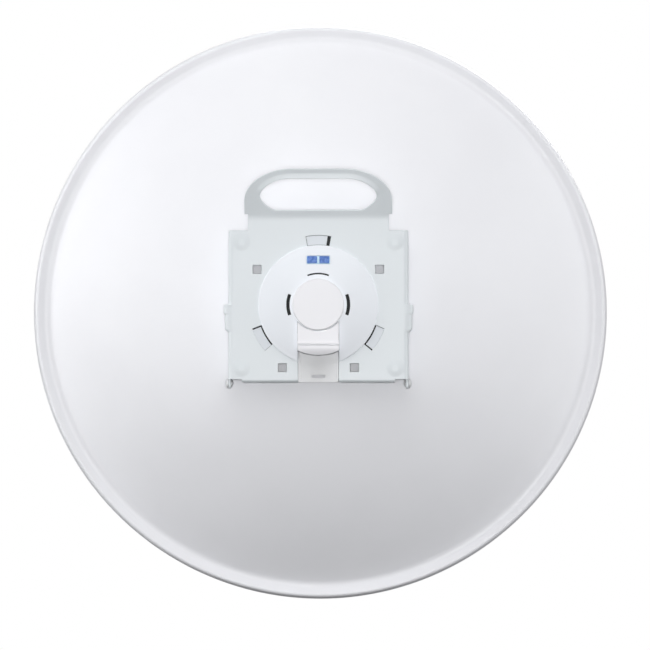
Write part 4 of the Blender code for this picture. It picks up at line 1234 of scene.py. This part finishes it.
def make_lock_ring():
    """A ring round the drum with a tab up into each lock slot, and round the ring a black ring that paints
    the shade in the slots' gaps.
    """
    tabs = []
    roots = []
    for middle, start, tab_inner, tab_outer in LOCK_TABS:
        there = (middle + start, middle + TAB_END_ANGLE, 10)
        back = (middle + TAB_END_ANGLE, middle + start, 10)
        tab = arc(HUB, tab_outer, *there) + arc(HUB, tab_inner, *back)
        root = arc(HUB, tab_inner + ROOT_OVERLAP, *there) + arc(HUB, RING_OUTER - ROOT_OVERLAP, *back)
        tabs.append(prism(tab, TAB_REAR_Y, RING_FRONT_Y))
        roots.append(prism(root, ROOT_REAR_Y, RING_FRONT_Y))
    channel = through(block(CHANNEL_X, -1.2 * LOCK_SHADE_OUTER, 0.0))
    ring = hoop(BODY_RADIUS + SEAT, RING_OUTER, PLATE_SHEET + SEAT, RING_FRONT_Y, 120)
    ring = cut(ring, channel)
    for tab, root in zip(tabs, roots):
        ring = joined(ring, tab, root)
    # The ring's darker plastic paints the shade on its recessed tabs.
    soften(add_piece("twist_ring", ring, SHADED_RING_PLASTIC, "lock_ring"), 0.0003)
    # A black ring: painted shade that darkens the gaps at the lock tabs' ends.
    slot_shade = hoop(RING_OUTER + SEAT, LOCK_SHADE_OUTER, LOCK_SHADE_REAR_Y, LOCK_SHADE_FRONT_Y)
    notches = []
    for side in (-1, 1):
        for across, up in BOLT_HOLES:
            notch = through(block(LOCK_SHADE_NOTCH, up - LOCK_SHADE_NOTCH, up + LOCK_SHADE_NOTCH))
            notches.append(placed(notch, shift(side * across, 0.0, 0.0)))
    add_piece("lock_slot_shade", cut(slot_shade, channel, *tabs, *notches), BLACK_RUBBER_AND_SHADE)


def make_status_window():
    """A pale panel let into the dome, with two coloured lenses on it."""
    rear = WINDOW_SUNK - SEAT
    outline = rounded_block(WINDOW_X, -WINDOW_HALF_HEIGHT, WINDOW_HALF_HEIGHT, WINDOW_CORNER)
    panel = placed(prism(outline, rear, rear + WINDOW_THICKNESS), window_matrix())
    soften(add_piece("window_panel", panel, PALE_PANEL, "status_window"), 0.00015)
    outline = rounded_block(LENS_HALF_WIDTH, -LENS_HALF_HEIGHT, LENS_HALF_HEIGHT, LENS_CORNER)
    for name, side in SIDES:
        lens = prism(outline, rear - SEAT - LENS_THICKNESS, rear - SEAT)
        lens = placed(lens, shift(side * LENS_X, 0.0, 0.0) @ window_matrix())
        soften(add_piece(f"lens_{name}", lens, BLUE_LENS, f"status_lens_{name}"), 0.00025, segments=3)


def make_hub_gasket():
    """A rubber ring with a rounded bead on its outer edge."""
    rear = BODY_FRONT_Y + SEAT
    front = bowl_y(0.0) - SEAT
    half = (front - rear) / 2
    outer = BODY_RADIUS - GASKET_INSET
    bead = arc((outer - half, rear + half), half, -90, 90)
    profile = [(HUB_HOLE_RADIUS, rear)] + bead + [(HUB_HOLE_RADIUS, front)]
    add_piece("hub_seal", turned(profile, 120), BLACK_RUBBER_AND_SHADE, "hub_gasket")


# Feed

def make_collar():
    """The ring that holds the feed to the bowl, with a fine recess in its face, and its screws."""
    rear = bowl_y(0.0) + BOWL_SHEET + SEAT
    inner = NECK_RADIUS + SEAT
    recess = 0.0004
    recess_edge = inner + 0.0048
    profile = [(inner, rear), (COLLAR_RADIUS, rear)]
    profile += arc((COLLAR_RADIUS - COLLAR_ROUND, COLLAR_FRONT_Y - COLLAR_ROUND), COLLAR_ROUND, 0, 90, 6)
    profile += [(recess_edge + recess, COLLAR_FRONT_Y), (recess_edge, COLLAR_FRONT_Y - recess)]
    profile.append((inner, COLLAR_FRONT_Y - recess))
    add_piece("collar_ring", turned(profile), WHITE_PLASTIC, "feed_collar")
    screws = arc(HUB, (COLLAR_RADIUS + TUBE_BASE_RADIUS) / 2, 90, 330, 2)
    for index, (x, z) in enumerate(screws):
        matrix = shift(x, COLLAR_FRONT_Y, z) @ spin(0.4 + 1.1 * index)
        add_piece(f"collar_screw_{index + 1}", placed(pan_screw(*COLLAR_SCREW), matrix), ZINC)


def make_boom():
    """The feed's tube, with a flared foot and a step near its tip."""
    rear = NECK_FRONT_Y + SEAT
    proud = TUBE_TIP_RADIUS + TIP_BEAD
    tip = TUBE_TIP_RADIUS - TIP_RELIEF
    profile = [(0.0, rear), (TUBE_BASE_RADIUS, rear), (TUBE_BASE_RADIUS, rear + FLARE_REAR)]
    profile += oval((TUBE_RADIUS + FLARE_CENTRE[0], rear + FLARE_CENTRE[1]), FLARE_RADII, 262, 188)
    profile += [(proud, TUBE_FRONT_Y - 0.006), (proud, TUBE_FRONT_Y - 0.0044)]
    profile += [(tip, TUBE_FRONT_Y - 0.0041), (tip, TUBE_FRONT_Y), (0.0, TUBE_FRONT_Y)]
    add_piece("feed_boom", turned(profile), WHITE_PLASTIC, "feed_tube")


def make_boom_seams():
    """The parting line down each side of the moulded tube."""
    rear = NECK_FRONT_Y + SEAT + 0.015
    front = TUBE_FRONT_Y - 0.0065
    profile = [
        (rear, TUBE_RADIUS - 0.0006),
        (front, TUBE_TIP_RADIUS - 0.0001),
        (front, TUBE_TIP_RADIUS + 0.00052),
        (rear, TUBE_RADIUS + 0.0001),
    ]
    seams = copies(slab(profile, SEAM_HALF_WIDTH), [spin(-pi / 2), spin(pi / 2)])
    add_piece("boom_seams", seams, WHITE_PLASTIC)


def make_band():
    """The band between the tube and the horn, with a waist for its teeth."""
    rear = TUBE_FRONT_Y + SEAT
    waist = BAND_RADIUS - BAND_TOOTH
    edge = 0.0004
    half = [(0.0, 0.0), (BAND_RADIUS - edge, 0.0), (BAND_RADIUS, edge)]
    half += [(BAND_RADIUS, BAND_CHAMFER), (waist, BAND_CHAMFER + edge)]
    profile = [(radius, rear + y) for radius, y in half]
    profile += [(radius, BAND_FRONT_Y - y) for radius, y in half[::-1]]
    add_piece("boom_band", turned(profile), GREY_PLASTIC, "feed_band")


def make_band_teeth():
    """Grip teeth round the band's waist."""
    foot = BAND_RADIUS - 1.2 * BAND_TOOTH
    top = BAND_RADIUS - 0.1 * BAND_TOOTH
    half = TOOTH_HALF_WIDTH
    outline = [(foot, -half), (top, -half / 2), (top, half / 2), (foot, half)]
    tooth = prism(outline, TUBE_FRONT_Y + SEAT + BAND_CHAMFER, BAND_FRONT_Y - BAND_CHAMFER)
    add_piece("band_teeth", copies(tooth, map(spin, full_turn(TOOTH_COUNT))), GREY_PLASTIC)


def make_horn():
    """The horn behind the radome, whose sides swell a little as they widen."""
    rear = BAND_FRONT_Y + SEAT
    edge = 0.0006
    profile = [(0.0, rear), (CAP_BASE_RADIUS - edge, rear), (CAP_BASE_RADIUS, rear + edge)]
    rise = CAP_SHOULDER_Y - HORN_RIM[1] - rear - edge
    reach = CAP_RADIUS - HORN_RIM[0] - CAP_BASE_RADIUS
    for share in spread(0.0, 1.0, 8)[1:]:
        radius = CAP_BASE_RADIUS + reach * (share + HORN_SWELL * sin(pi * share))
        profile.append((radius, rear + edge + rise * share))
    profile += [
        (CAP_RADIUS - 0.0004, CAP_SHOULDER_Y - 0.0020),
        (CAP_RADIUS, CAP_SHOULDER_Y - 0.0010),
        (CAP_RADIUS, CAP_SHOULDER_Y - 0.0003),
        (CAP_RADIUS - 0.0003, CAP_SHOULDER_Y),
        (0.0, CAP_SHOULDER_Y),
    ]
    add_piece("boom_horn", turned(profile), WHITE_PLASTIC, "feed_horn")


def make_radome():
    """The cap over the horn, with a round edge and a low crown."""
    rear = CAP_SHOULDER_Y + SEAT
    edge = 0.0003
    centre = (CAP_RADIUS - CAP_ROUND, CAP_FRONT_Y - CAP_CROWN - CAP_ROUND)
    profile = [(0.0, rear), (CAP_RADIUS - edge, rear), (CAP_RADIUS, rear + edge)]
    profile += arc(centre, CAP_ROUND, 0, 75, 14)
    crown_radius, crown_y = profile[-1]
    for share in spread(0.0, 1.0, 10)[-2::-1]:
        profile.append((crown_radius * share, CAP_FRONT_Y - (CAP_FRONT_Y - crown_y) * share**2))
    add_piece("radome", turned(profile), WHITE_PLASTIC, "feed_radome_cap")


# Floor, light and camera

def make_floor():
    """A pale floor that fades out with distance and can't be seen from below.

    It casts no shadow, and neither its reflection nor its bounced light reaches the antenna.
    """
    bpy.ops.mesh.primitive_circle_add(vertices=128, radius=FLOOR_RADIUS, fill_type="NGON")
    floor = bpy.context.object
    floor.name = "pale_floor"
    floor.location = (0.0, 0.0, FLOOR_Z)
    floor.visible_glossy = False
    floor.visible_diffuse = False
    floor.visible_shadow = False
    made = bpy.data.materials.new("floor_paper")
    made.use_nodes = True
    tree = made.node_tree
    paper = tree.nodes["Principled BSDF"]
    wire(tree, paper, Base_Color=(0.93, 0.93, 0.93, 1.0), Roughness=0.9, Specular_IOR_Level=0.2)
    reach = tree.nodes.new("ShaderNodeVectorMath")
    reach.operation = "LENGTH"
    tree.links.new(add_node(tree, "TexCoord").outputs["Object"], reach.inputs[0])
    fade = ranged(tree, reach.outputs["Value"], (0.9, 0.95 * FLOOR_RADIUS), (1.0, 0.0), "SMOOTHSTEP")
    above = tree.nodes.new("ShaderNodeMath")
    above.operation = "SUBTRACT"
    above.use_clamp = True
    tree.links.new(fade, above.inputs[0])
    tree.links.new(add_node(tree, "NewGeometry").outputs["Backfacing"], above.inputs[1])
    mix_shaders(tree, above.outputs["Value"], add_node(tree, "BsdfTransparent"), paper, "Material Output")
    floor.data.materials.append(made)


def mix_shaders(tree, share, first, second, output):
    """Mixes two nodes' shaders by the second's share, and wires them to the output."""
    mixed = add_node(tree, "MixShader", Fac=share)
    tree.links.new(first.outputs[0], mixed.inputs[1])
    tree.links.new(second.outputs[0], mixed.inputs[2])
    wire(tree, tree.nodes[output], Surface=mixed.outputs["Shader"])


def make_world(low, high):
    """A white background, and a soft light that is dim from below and brighter from above."""
    world = bpy.data.worlds.new("studio")
    bpy.context.scene.world = world
    world.use_nodes = True
    tree = world.node_tree
    seen = wire(tree, tree.nodes["Background"], Color=(1.0, 1.0, 1.0, 1.0), Strength=1.0)
    height = add_node(tree, "SeparateXYZ", Vector=add_node(tree, "TexCoord").outputs["Generated"])
    glow = ranged(tree, height.outputs["Z"], (-0.25, 0.25), (low, high), "SMOOTHSTEP")
    soft = add_node(tree, "Background", Color=glow)
    is_seen = add_node(tree, "LightPath").outputs["Is Camera Ray"]
    mix_shaders(tree, is_seen, soft, seen, "World Output")


def add_softbox(name, azimuth, elevation, distance, size, power):
    """A square light that looks at the dish."""
    light = bpy.data.lights.new(name, "AREA")
    light.shape = "SQUARE"
    light.size = size
    light.energy = power
    box = new_object(name, light)
    across = radians(azimuth)
    up = radians(elevation)
    away = Vector((sin(across) * cos(up), -cos(across) * cos(up), sin(up)))
    box.location = LIGHTS_AIM + distance * away
    box.rotation_euler = away.to_track_quat("Z", "Y").to_euler()
    box.visible_camera = False


def make_camera():
    camera = bpy.data.cameras.new("camera")
    camera.lens = CAMERA_LENS
    camera.sensor_width = 36.0
    camera.clip_end = 50.0
    view = new_object("camera", camera)
    view.location = CAMERA_PLACE
    view.rotation_euler = (CAMERA_AIM - CAMERA_PLACE).to_track_quat("-Z", "Y").to_euler()
    bpy.context.scene.camera = view


# The antenna and its surroundings

make_reflector()
make_back_plate()
make_rivets()
make_standoffs()
make_bowl_screws()
make_housing_body()
make_drum_ribs()
make_dome_slot_shade()
make_housing_dome()
make_end_disc()
make_port_cover()
make_network_jack()
make_cable_tray()
make_lock_ring()
make_status_window()
make_hub_gasket()
make_collar()
make_boom()
make_boom_seams()
make_band()
make_band_teeth()
make_horn()
make_radome()

make_floor()
make_world(0.03, 0.31)
for softbox in SOFTBOXES:
    add_softbox(*softbox)
make_camera()
bpy.context.scene.view_settings.view_transform = "Standard"
